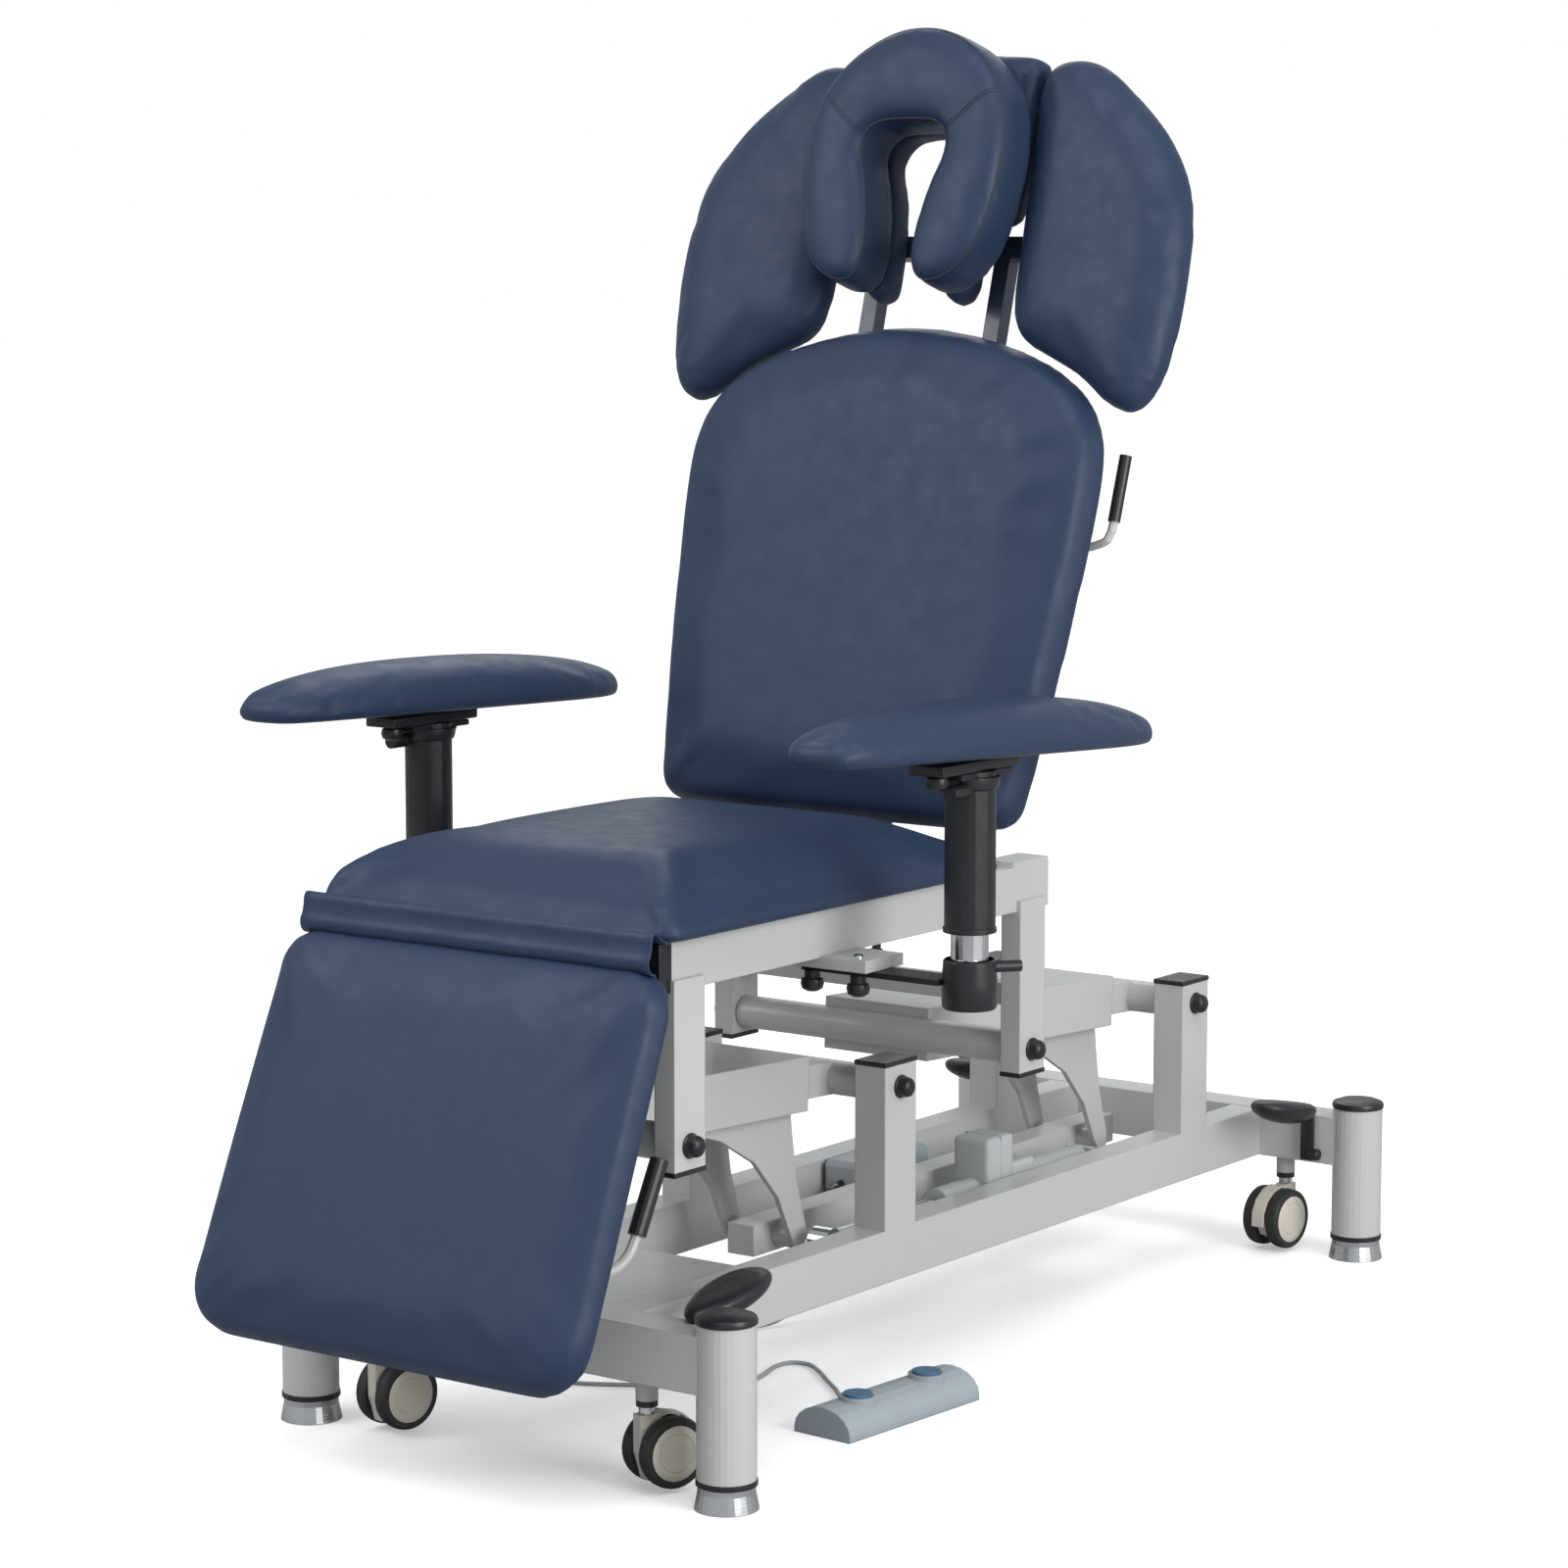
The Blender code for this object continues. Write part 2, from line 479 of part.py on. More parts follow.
def leg_rest(frame):
    """The leg section, drawn level and turned down to where it hangs."""
    hinge = pivot("leg_rest_pivot", LEG_HINGE, (LEG_ANGLE, 0, 0), frame)
    outline = rounded_box_outline((-0.250, -0.437), (0.250, -0.012), (0.060, 0.060, 0.030, 0.030))
    pad = plate("leg_rest_cushion", outline, -0.0065, 0.0385, hinge)
    finish(soften(pad, 0.012, 2), "vinyl")

    low, high = -0.0270, -0.0070
    body = box("leg_rest_frame", (0.130, -0.400, low), (0.150, 0.0, high), hinge)
    parts = [box("leg_tube", (-0.150, -0.400, low), (-0.130, 0.0, high), hinge)]
    for name, at in (("top", -0.060), ("bottom", -0.390)):
        corners = (-0.14, at - 0.010, low + 0.0003), (0.14, at + 0.010, high - 0.0003)
        parts.append(box(f"leg_cross_{name}", *corners, hinge))
    for side, way in SIDES:
        xs = sorted((way * 0.1495, way * 0.1550))
        ear = [(0.009, -0.009), (0.009, 0.008), (-0.009, 0.008), (-0.022, low + 0.001), (-0.004, low + 0.001)]
        parts.append(plate(f"leg_ear_{side}", ear, xs[0], xs[1], hinge, "X"))
        parts.append(box(f"leg_ear_foot_{side}", (xs[0], -0.05, low), (xs[1], 0.0, high), hinge))
    corners = (-0.14, -0.172, low + 0.0003), (0.14, -0.152, high - 0.0003)
    parts.append(box("spring_yoke_cross", *corners, hinge))
    parts.append(box("spring_yoke", (0.0085, -0.174, -0.052), (0.0125, -0.150, low + 0.006), hinge))
    corners = (0.14, -0.312, low + 0.0003), (0.215, -0.292, high - 0.0003)
    parts.append(box("lever_cross", *corners, hinge))
    finish(weld(body, *parts), "frame")

    axis = pivot("leg_lever_axis", (0.200, -0.302, -0.040), parent=hinge)
    tube = [(0, 0, 0), (0, 0.004, -0.022), (0, 0.020, -0.042), (0, 0.048, -0.0505), (0, 0.122, -0.057)]
    handle = as_mesh(wire("leg_lever", smooth_path(tube, 3), 0.0055, axis))
    handle.name = "leg_rest_release_lever"
    grip = rod("leg_grip", (0, 0.046, -0.0503), (0, 0.124, -0.0572), 0.0095, axis, sides=16)
    finish(weld(handle, grip), "black")
    return hinge


def gas_spring(name, parent, start, end, body_length, rod_start):
    """A gas spring between two points: a cylinder with its rod sliding out of it."""
    start, end = Vector(start), Vector(end)
    facing = (end - start).to_track_quat("Z", "Y").to_euler()
    hinge = pivot(f"{name}_pivot", start, facing, parent)
    reach = (end - start).length
    tube = rod(f"{name}_cylinder", (0, 0, 0.016), (0, 0, body_length), 0.0110, hinge, sides=16)
    foot = rod("spring_foot", (-0.006, 0, 0), (0.006, 0, 0), 0.0080, hinge, sides=12)
    neck = rod("spring_neck", (0, 0, 0.004), (0, 0, 0.020), 0.0050, hinge, sides=12)
    bore = rod("spring_bore", (0, 0, 0.021), (0, 0, body_length + 0.01), 0.0055, hinge, sides=12)
    finish(cut(weld(tube, foot, neck), bore), "black")
    shaft = rod(f"{name}_rod", (0, 0, rod_start), (0, 0, reach - 0.004), 0.0050, hinge, sides=12)
    eye = rod("spring_eye", (-0.006, 0, reach), (0.006, 0, reach), 0.0080, hinge, sides=12)
    finish(weld(shaft, eye), "steel")


# ---- back and head ------------------------------------------------------------------------
def backrest(frame):
    """The back section, drawn upright and leaned back about its hinge."""
    hinge = pivot("backrest_pivot", BACK_HINGE, (-BACK_LEAN, 0, 0), frame)
    half = [(0.0, 0.052), (0.215, 0.052), (0.240, 0.060), (0.250, 0.085), (0.263, 0.245), (0.275, 0.400),
            (0.278, 0.450), (0.271, 0.497), (0.250, 0.533), (0.200, 0.573), (0.145, 0.594),
            (0.075, 0.611), (0.0, 0.619)]
    pad = plate("backrest_cushion", mirrored(half), -0.083, -0.028, hinge, "Y")
    finish(soften(pad, 0.015, 2), "vinyl")

    front, rear = -0.0275, -0.0030
    body = box("backrest_frame", (0.1375, front, -0.0120), (0.1625, rear, 0.560), hinge)
    parts = [box("back_tube", (-0.1625, front, -0.0120), (-0.1375, rear, 0.560), hinge)]
    for name, at in (("low", 0.090), ("spring", 0.222), ("mid", 0.400), ("top", 0.540)):
        corners = (-0.15, front + 0.0003, at - 0.015), (0.15, front + 0.0095, at + 0.015)
        parts.append(box(f"back_cross_{name}", *corners, hinge))
    for side, way in SIDES:
        xs = sorted((way * 0.1380, way * 0.1640))
        parts.append(rod(f"hinge_boss_{side}", (xs[0], 0, 0), (xs[1], 0, 0), 0.0110, hinge, sides=16))
        xs = sorted((way * 0.1385, way * 0.1615))
        parts.append(box(f"hinge_web_{side}", (xs[0], -0.012, -0.008), (xs[1], 0.006, 0.030), hinge))
    parts.append(box("spring_yoke", (0.0085, -0.020, 0.208), (0.0125, 0.040, 0.236), hinge))
    parts.append(box("lever_mount", (0.150, -0.0275, 0.372), (0.214, -0.0100, 0.392), hinge))
    finish(weld(body, *parts), "frame")

    axis = pivot("back_lever_axis", (0.205, -0.0010, 0.382), parent=hinge)
    tube = [(0, 0, 0), (0.030, 0, 0.0), (0.053, 0, 0.004), (0.068, 0, 0.020), (0.071, 0, 0.100)]
    handle = as_mesh(wire("back_lever", smooth_path(tube, 3), 0.0050, axis))
    handle.name = "backrest_release_lever"
    grip = rod("back_grip", (0.069, 0, 0.030), (0.0712, 0, 0.104), 0.0070, axis, sides=16)
    finish(weld(handle, grip), "black")
    return hinge


def head_pad(name, outer, slot, depth, tilt):
    """A horseshoe pad of the face cradle, from one side's outline and one side of its slot."""
    right = [*reversed(slot), *outer]
    loop = right + [(-x, z) for x, z in reversed(right)]
    shape = [(x, z + HEAD_BASE - HEAD_AXIS.z) for x, z in loop]
    return plate(name, shape, depth[0] - HEAD_AXIS.y, depth[1] - HEAD_AXIS.y, tilt, "Y")


def head_section(back):
    """The sliding head frame with its wings, and the tilting face cradle."""
    slide = pivot("head_slide", (0, 0, 0), parent=back)
    front, rear = -0.0165, 0.0035
    axis_z = HEAD_AXIS.z
    body = box("head_frame", (0.075, front, 0.470), (0.095, rear, axis_z), slide)
    corners = (-0.160, front + 0.0003, axis_z - 0.0125), (0.160, rear - 0.0003, axis_z + 0.0125)
    parts = [box("head_bar", (-0.095, front, 0.470), (-0.075, rear, axis_z), slide),
             box("head_crossbar", *corners, slide)]
    for side, way in SIDES:
        xs = sorted((way * 0.150, way * 0.290))
        low, high = (xs[0], -0.0195, axis_z - 0.012), (xs[1], -0.0135, axis_z + 0.012)
        parts.append(box(f"wing_arm_{side}", low, high, slide))
    finish(weld(body, *parts), "vinyl")

    outline = [(0.150, 0.306), (0.190, 0.303), (0.233, 0.273), (0.281, 0.230), (0.317, 0.180),
               (0.334, 0.130), (0.339, 0.070), (0.338, 0.018), (0.330, -0.043), (0.312, -0.080),
               (0.289, -0.090), (0.262, -0.078), (0.225, -0.050), (0.180, -0.029), (0.145, -0.011),
               (0.130, 0.022), (0.126, 0.085), (0.122, 0.193), (0.120, 0.255), (0.128, 0.290)]
    for side, way in SIDES:
        shape = [(way * x, z + HEAD_BASE) for x, z in smooth_loop(outline, 2)]
        wing = plate(f"head_wing_{side}", shape, -0.0690, -0.0200, slide, "Y")
        finish(soften(wing, 0.012, 2), "vinyl")

    tilt = pivot("face_cradle_tilt", HEAD_AXIS, parent=slide)
    panel_half = [(0.046, 0.026), (0.060, 0.028), (0.070, 0.040), (0.0725, 0.060), (0.0725, 0.115),
                  (0.100, 0.117), (0.112, 0.124), (0.118, 0.140), (0.118, 0.285), (0.106, 0.300)]
    panel_slot = [(0.036, 0.050), (0.038, 0.100), (0.046, 0.150), (0.058, 0.185),
                  (0.052, 0.206), (0.030, 0.219)]
    panel = head_pad("head_centre_panel", panel_half, panel_slot, (-0.0550, -0.0205), tilt)
    finish(soften(panel, 0.006, 1), "vinyl")

    cradle_half = [(0.040, 0.040), (0.060, 0.036), (0.082, 0.042), (0.100, 0.055), (0.116, 0.075),
                   (0.129, 0.105), (0.137, 0.147), (0.138, 0.195), (0.130, 0.238), (0.114, 0.268),
                   (0.086, 0.297), (0.050, 0.318), (0.018, 0.327)]
    cradle_slot = [(0.031, 0.060), (0.032, 0.100), (0.041, 0.150), (0.053, 0.182),
                   (0.050, 0.202), (0.028, 0.214)]
    cradle = head_pad("face_cushion", cradle_half, cradle_slot, (-0.1330, -0.0720), tilt)
    finish(soften(cradle, 0.010, 2, 50), "vinyl")
    holder = plate("face_cushion_mount", [(x * 0.55, z) for x, z in
                   [(0.20, 0.235), (0.20, 0.285), (-0.20, 0.285), (-0.20, 0.235)]],
                   -0.0717 - HEAD_AXIS.y, -0.0553 - HEAD_AXIS.y, tilt, "Y")
    holder.data.transform(Matrix.Translation((0, 0, HEAD_BASE - HEAD_AXIS.z)))
    finish(holder, "black")


# ---- armrests -----------------------------------------------------------------------------
def armrest(side, way, frame):
    """A sliding bar with its tube, a height-adjusting post and a swivelling pad."""
    post = pivot(f"{side}_armrest_axis", (way * ARM_POST_X, ARM_POST_Y, 0), parent=frame)
    reach = sorted((-way * 0.190, -way * 0.020))
    bar = box(f"{side}_armrest_bar", (reach[0], -0.028, 0.4885), (reach[1], 0.009, 0.4948), post)
    collar = rod("collar", (0, 0, 0.4650), (0, 0, 0.5150), 0.0270, post, end_radius=0.0250, sides=24)
    tube = rod("tube", (0, 0, 0.5140), (0, 0, 0.6600), 0.0195, post, sides=24)
    start, end = (way * 0.012, 0.010, 0.506), (way * 0.036, 0.040, 0.506)
    lip = rod("collar_clamp", start, end, 0.006, post, sides=12)
    knobs = [rod("bar_knob", (x, -0.024, 0.4700), (x, -0.024, 0.4890), 0.0085, post, sides=12)
             for x in (-way * 0.121, -way * 0.179)]
    finish(weld(bar, collar, tube, lip, *knobs), "steel")

    sleeve = rod(f"{side}_armrest_post", (0, 0, 0.5430), (0, 0, 0.7080), 0.0262, post, sides=24)
    head = box("pad_bracket", (-0.020, -0.046, 0.7020), (0.020, 0.046, 0.7080), post)
    start, end = (way * 0.010, -0.0225, 0.6900), (way * 0.010, -0.052, 0.6900)
    knob = rod("height_knob", start, end, 0.0080, post, sides=12)
    bore = rod("sleeve_bore", (0, 0, 0.5000), (0, 0, 0.6900), 0.0200, post, sides=24)
    finish(cut(weld(sleeve, head, knob), bore), "black")

    half = [(0.0, -0.288), (0.030, -0.282), (0.046, -0.255), (0.056, -0.200), (0.066, -0.110),
            (0.070, 0.0), (0.069, 0.110), (0.064, 0.200), (0.054, 0.270), (0.034, 0.312), (0.0, 0.326)]
    pad = plate(f"{side}_armrest_pad", mirrored(half), 0.7190, 0.7740, post)
    base = box("pad_base", (-0.030, -0.090, 0.7083), (0.030, 0.090, 0.7200), post)
    finish(soften(weld(pad, base), 0.010, 2, 50), "vinyl")


# ---- foot switch and its cord -------------------------------------------------------------
def foot_switch(base):
    """A half-round housing on the floor with two round buttons."""
    place = pivot("foot_switch_place", SWITCH_PLACE, (0, 0, SWITCH_TURN), base)
    half_long, half_wide, high = 0.110, 0.0375, 0.032
    section = [(half_wide * math.cos(a), 0.006 + (high - 0.006) * math.sin(a))
               for a in (math.pi * k / 10 for k in range(11))]
    section += [(-half_wide, 0.0), (half_wide, 0.0)]
    housing = plate("foot_switch_housing", section, -half_long, half_long, place, "Y")
    rings, wells = [], []
    for at in (-0.058, 0.058):
        rings.append(rod("button_ring", (0.006, at, 0.010), (0.006, at, 0.0355), 0.0200, place, sides=24))
        wells.append(rod("button_well", (0.006, at, 0.0240), (0.006, at, 0.0500), 0.0158, place, sides=24))
    boss = rod("cord_boss", (-0.030, -0.020, 0.0090), (-0.042, -0.024, 0.0090), 0.0055, place, sides=12)
    finish(cut(weld(housing, *rings, boss), *wells), "grey")
    for name, at in (("up", 0.058), ("down", -0.058)):
        button = rod(f"foot_button_{name}", (0.006, at, 0.0290), (0.006, at, 0.0385), 0.0155, place, sides=24)
        finish(button, "blue")


COIL_PLACE = Vector((-0.200, -0.360, 0))
COIL_MIDDLE, COIL_HALF, COIL_HIGH = 0.0275, 0.0055, 0.0150
CORD_FROM_BOX = [(-0.082, 0.0547, 0.150), (-0.082, 0.0400, 0.1490), (-0.084, 0.0200, 0.134),
                 (-0.087, 0.0060, 0.100), (-0.090, -0.0020, 0.055), (-0.095, -0.0180, 0.020),
                 (-0.102, -0.0450, 0.0050), (-0.116, -0.0900, 0.0032), (-0.140, -0.1500, 0.0032),
                 (-0.165, -0.2000, 0.0032), (-0.188, -0.2500, 0.0032), (-0.2060, -0.2900, 0.0032),
                 (-0.2225, -0.3150, 0.0032), (-0.2275, -0.3381, 0.0032)]
CORD_TO_SWITCH = [(-0.1779, -0.3875, 0.0032), (-0.150, -0.3868, 0.0032), (-0.115, -0.3780, 0.0032),
                  (-0.080, -0.3580, 0.0032), (-0.040, -0.3320, 0.0032), (0.000, -0.3070, 0.0032),
                  (0.024, -0.2740, 0.0032), (0.020, -0.2360, 0.0032), (0.010, -0.2000, 0.0032),
                  (0.014, -0.1760, 0.0032), (0.035, -0.1710, 0.0032), (0.060, -0.1870, 0.0032),
                  (0.090, -0.2130, 0.0032), (0.119, -0.2380, 0.0036), (0.148, -0.2690, 0.0055),
                  (0.1655, -0.2900, 0.0084)]


def cords(base):
    """The foot switch's cord: two free stretches and the ring that its coil fills."""
    cord_ends = ("control_box", CORD_FROM_BOX, 3), ("foot_switch", CORD_TO_SWITCH, 2)
    for end, route, steps in cord_ends:
        finish(wire(f"cord_to_{end}", smooth_path(route, steps), CORD_RADIUS, base), "grey")
    outer, inner = COIL_MIDDLE + COIL_HALF, COIL_MIDDLE - COIL_HALF
    low = COIL_PLACE + Vector((0, 0, 0.0001))
    high = COIL_PLACE + Vector((0, 0, COIL_HIGH))
    ring = rod("cord_coil", low, high, outer, base, sides=28)
    hole = rod("coil_hole", low - Vector((0, 0, 0.01)), high + Vector((0, 0, 0.01)), inner, base, sides=28)
    finish(cut(ring, hole), "grey")


def main():
    base = pivot("base_middle", (0, BASE_Y, 0))
    base_frame(base)
    base_fittings(base)
    castors(base)
    front_arm = lift_arm("front_lift_arm", FRONT_A_Y, base)
    lift_arm("rear_lift_arm", REAR_A_Y, base)
    tie_bar(front_arm)
    actuator(base)
    frame = upper_frame(base)
    leg_rest(frame)
    backrest_hinge = backrest(frame)
    head_section(backrest_hinge)
    gas_spring("leg_gas_spring", frame, (0, -0.296, 0.490), (0, -0.6971, 0.3800), 0.240, 0.098)
    gas_spring("back_gas_spring", frame, (0, REAR_A_Y - ARM_RUN, 0.4345), (0, 0.0330, 0.7420), 0.160, 0.146)
    for side, way in SIDES:
        armrest(side, way, frame)
    foot_switch(base)
    cords(base)


main()
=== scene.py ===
import json
import math

import bmesh
import bpy
from mathutils import Matrix, Vector
from mathutils.bvhtree import BVHTree


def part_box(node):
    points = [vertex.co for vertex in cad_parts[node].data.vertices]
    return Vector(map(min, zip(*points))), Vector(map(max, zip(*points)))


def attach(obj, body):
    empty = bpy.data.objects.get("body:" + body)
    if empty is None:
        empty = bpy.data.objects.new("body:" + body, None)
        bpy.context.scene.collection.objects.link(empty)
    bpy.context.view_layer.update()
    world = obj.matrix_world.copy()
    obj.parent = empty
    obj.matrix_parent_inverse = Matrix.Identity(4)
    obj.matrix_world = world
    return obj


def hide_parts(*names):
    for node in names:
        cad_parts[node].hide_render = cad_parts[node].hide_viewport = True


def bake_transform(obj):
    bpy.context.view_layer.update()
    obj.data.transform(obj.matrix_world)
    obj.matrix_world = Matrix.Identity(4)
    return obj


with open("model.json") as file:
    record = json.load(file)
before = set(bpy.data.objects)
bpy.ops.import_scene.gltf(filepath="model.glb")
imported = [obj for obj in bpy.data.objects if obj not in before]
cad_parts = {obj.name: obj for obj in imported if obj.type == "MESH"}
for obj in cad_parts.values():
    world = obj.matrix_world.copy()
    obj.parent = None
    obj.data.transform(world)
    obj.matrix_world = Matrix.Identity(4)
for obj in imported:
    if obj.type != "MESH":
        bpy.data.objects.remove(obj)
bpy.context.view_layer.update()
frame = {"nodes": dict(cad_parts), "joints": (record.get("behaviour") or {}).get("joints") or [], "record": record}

NODES = frame["nodes"]
JOINTS = {joint["name"]: joint for joint in frame["joints"]}
SIDES = (("left", 1), ("right", -1))
ENDS = (("front", -1), ("rear", 1))


def corner(node, which):
    """The lowest (0) or highest (1) corner of a CAD node."""
    return Vector(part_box(node)[which])


BASE_Y = (corner("base_frame", 0).y + corner("base_frame", 1).y) / 2
BACK_LEAN = math.atan2(JOINTS["head_extend"]["axis"][1], JOINTS["head_extend"]["axis"][2])
LEG_ANGLE = math.radians(67.2)
BACK_PLACE = Vector(JOINTS["backrest_recline"]["pos_m"])
LEG_PLACE = Vector(JOINTS["leg_rest_raise"]["pos_m"])
BACK = Matrix.Translation(BACK_PLACE) @ Matrix.Rotation(-BACK_LEAN, 4, "X")
LEG = Matrix.Translation(LEG_PLACE) @ Matrix.Rotation(LEG_ANGLE, 4, "X")
BASE = Matrix.Translation((0, BASE_Y, 0))
HEAD_BASE = 0.6156  # the head section's zero, along the backrest from its pivot
RAIL_FRONT = LEG_PLACE.y + 0.018
COLUMN_X, COLUMN_Y = 0.275, 0.642


# ---- camera, light and floor --------------------------------------------------------------
def camera():
    lens = bpy.data.cameras.new("view")
    lens.lens, lens.sensor_width = 97.48, 36
    lens.clip_end = 50
    eye = bpy.data.objects.new("view", lens)
    eye.location = (2.7095, BASE_Y - 3.8821, 1.2416)
    eye.rotation_euler = (math.radians(90 - 7.3626), 0, math.radians(36.1231))
    bpy.context.scene.collection.objects.link(eye)
    bpy.context.scene.camera = eye


def area_light(name, place, target, size, power):
    lamp = bpy.data.lights.new(name, "AREA")
    lamp.shape, lamp.size, lamp.energy = "SQUARE", size, power
    made = bpy.data.objects.new(name, lamp)
    made.location = place
    made.rotation_euler = (Vector(target) - Vector(place)).to_track_quat("-Z", "Y").to_euler()
    bpy.context.scene.collection.objects.link(made)


def seen_or_bounced(tree, bounced, seen, surface):
    """One shader for what the camera sees directly, another for the light that comes off it."""
    rays = tree.nodes.new("ShaderNodeLightPath")
    mix = tree.nodes.new("ShaderNodeMixShader")
    tree.links.new(rays.outputs["Is Camera Ray"], mix.inputs[0])
    tree.links.new(bounced.outputs[0], mix.inputs[1])
    tree.links.new(seen.outputs[0], mix.inputs[2])
    tree.links.new(mix.outputs[0], surface)


def surroundings():
    """White to the eye and dimmer as a light."""
    world = bpy.data.worlds.new("studio")
    bpy.context.scene.world = world
    world.use_nodes = True
    tree = world.node_tree
    shown = tree.nodes["Background"]
    shown.inputs["Color"].default_value = (1, 1, 1, 1)
    shown.inputs["Strength"].default_value = 1.0
    light = tree.nodes.new("ShaderNodeBackground")
    light.inputs["Color"].default_value = (0.95, 0.97, 1.0, 1)
    light.inputs["Strength"].default_value = 0.56
    seen_or_bounced(tree, light, shown, tree.nodes["World Output"].inputs["Surface"])


def lamps():
    """A broad soft sun and three soft boxes."""
    sun = bpy.data.lights.new("window", "SUN")
    sun.energy, sun.angle = 1.1, math.radians(42)
    window = bpy.data.objects.new("window", sun)
    window.rotation_euler = Vector((-0.9, 1.3, -3.2)).to_track_quat("-Z", "Y").to_euler()
    bpy.context.scene.collection.objects.link(window)
    area_light("key", (-1.8, -2.8, 3.0), (0, 0, 0.7), 2.2, 60)
    area_light("side", (3.8, -0.6, 1.6), (0, 0, 0.4), 2.0, 95)
    area_light("back", (-2.0, 3.2, 3.2), (0, 0, 0.6), 2.4, 25)


def pale_floor():
    """A near-white floor that takes soft shadows but bounces little light back up."""
    bm = bmesh.new()
    bmesh.ops.create_grid(bm, x_segments=1, y_segments=1, size=60)
    mesh = bpy.data.meshes.new("floor")
    bm.to_mesh(mesh)
    bm.free()
    floor = bpy.data.objects.new("floor", mesh)
    floor.location.z = -0.0005
    bpy.context.scene.collection.objects.link(floor)
    sweep = bpy.data.materials.new("floor_sweep")
    sweep.use_nodes = True
    tree = sweep.node_tree
    seen, glow, bounced = (tree.nodes.new(kind) for kind in
                           ("ShaderNodeBsdfDiffuse", "ShaderNodeEmission", "ShaderNodeBsdfDiffuse"))
    seen.inputs["Color"].default_value = (0.95, 0.95, 0.95, 1)
    glow.inputs["Strength"].default_value = 0.30
    bounced.inputs["Color"].default_value = (0.40, 0.40, 0.41, 1)
    lit = tree.nodes.new("ShaderNodeAddShader")
    tree.links.new(seen.outputs[0], lit.inputs[0])
    tree.links.new(glow.outputs[0], lit.inputs[1])
    seen_or_bounced(tree, bounced, lit, tree.nodes["Material Output"].inputs["Surface"])
    mesh.materials.append(sweep)


# ---- materials ----------------------------------------------------------------------------
def shader_base(name, colour, rough, metal=0.0):
    made = bpy.data.materials.new(name)
    made.use_nodes = True
    tree = made.node_tree
    shader = tree.nodes["Principled BSDF"]
    shader.inputs["Base Color"].default_value = (*colour, 1)
    shader.inputs["Roughness"].default_value = rough
    shader.inputs["Metallic"].default_value = metal
    place = tree.nodes.new("ShaderNodeTexCoord")
    return made, tree, shader, place.outputs["Object"]


def noise(tree, coords, scale, detail=3.0, rough=0.5):
    node = tree.nodes.new("ShaderNodeTexNoise")
    node.inputs["Scale"].default_value = scale
    node.inputs["Detail"].default_value = detail
    node.inputs["Roughness"].default_value = rough
    tree.links.new(coords, node.inputs["Vector"])
    return node.outputs["Fac"]


def spread(tree, value, low, high):
    """Maps a noise value onto a range."""
    node = tree.nodes.new("ShaderNodeMapRange")
    node.inputs["From Min"].default_value = 0.3
    node.inputs["From Max"].default_value = 0.7
    node.inputs["To Min"].default_value = low
    node.inputs["To Max"].default_value = high
    tree.links.new(value, node.inputs["Value"])
    return node.outputs["Result"]


def tint(tree, value, colour, change):
    """A colour that wanders a little around its mean."""
    node = tree.nodes.new("ShaderNodeMix")
    node.data_type = "RGBA"
    node.inputs[6].default_value = (*[c * (1 - change) for c in colour], 1)
    node.inputs[7].default_value = (*[min(1, c * (1 + change)) for c in colour], 1)
    tree.links.new(value, node.inputs[0])
    return node.outputs[2]


def bump(tree, shader, height, strength, distance, under=None):
    node = tree.nodes.new("ShaderNodeBump")
    node.inputs["Strength"].default_value = strength
    node.inputs["Distance"].default_value = distance
    tree.links.new(height, node.inputs["Height"])
    if under is not None:
        tree.links.new(under, node.inputs["Normal"])
    tree.links.new(node.outputs["Normal"], shader.inputs["Normal"])
    return node.outputs["Normal"]


def soft_edges(tree, radius):
    """Rounds hard edges in the shading, as bent tube and moulded plastic have them."""
    node = tree.nodes.new("ShaderNodeBevel")
    node.samples = 6
    node.inputs["Radius"].default_value = radius
    return node.outputs["Normal"]


def vinyl():
    """Navy upholstery vinyl: a fine leather grain with faint pulls and handling marks."""
    navy = (0.022, 0.040, 0.082)
    made, tree, shader, coords = shader_base("navy_vinyl", navy, 0.46)
    tree.links.new(tint(tree, noise(tree, coords, 5.0, 2.0), navy, 0.06), shader.inputs["Base Color"])
    tree.links.new(spread(tree, noise(tree, coords, 38.0, 4.0), 0.40, 0.52), shader.inputs["Roughness"])
    cells = tree.nodes.new("ShaderNodeTexVoronoi")
    cells.feature = "DISTANCE_TO_EDGE"
    cells.inputs["Scale"].default_value = 620.0
    tree.links.new(coords, cells.inputs["Vector"])
    creases = bump(tree, shader, noise(tree, coords, 26.0, 2.0), 0.10, 0.004)
    bump(tree, shader, cells.outputs["Distance"], 0.22, 0.0006, creases)
    shader.inputs["Specular IOR Level"].default_value = 0.26
    return made


def paint(name, colour, rough=0.32):
    """Glossy powder coat: a fine orange peel, faint dust and softened edges."""
    made, tree, shader, coords = shader_base(name, colour, rough)
    tree.links.new(tint(tree, noise(tree, coords, 9.0, 3.0), colour, 0.008), shader.inputs["Base Color"])
    dust = spread(tree, noise(tree, coords, 60.0), rough - 0.03, rough + 0.05)
    tree.links.new(dust, shader.inputs["Roughness"])
    bump(tree, shader, noise(tree, coords, 900.0, 1.0), 0.012, 0.0003, soft_edges(tree, 0.0022))
    shader.inputs["Coat Weight"].default_value = 0.25
    shader.inputs["Coat Roughness"].default_value = 0.12
    return made


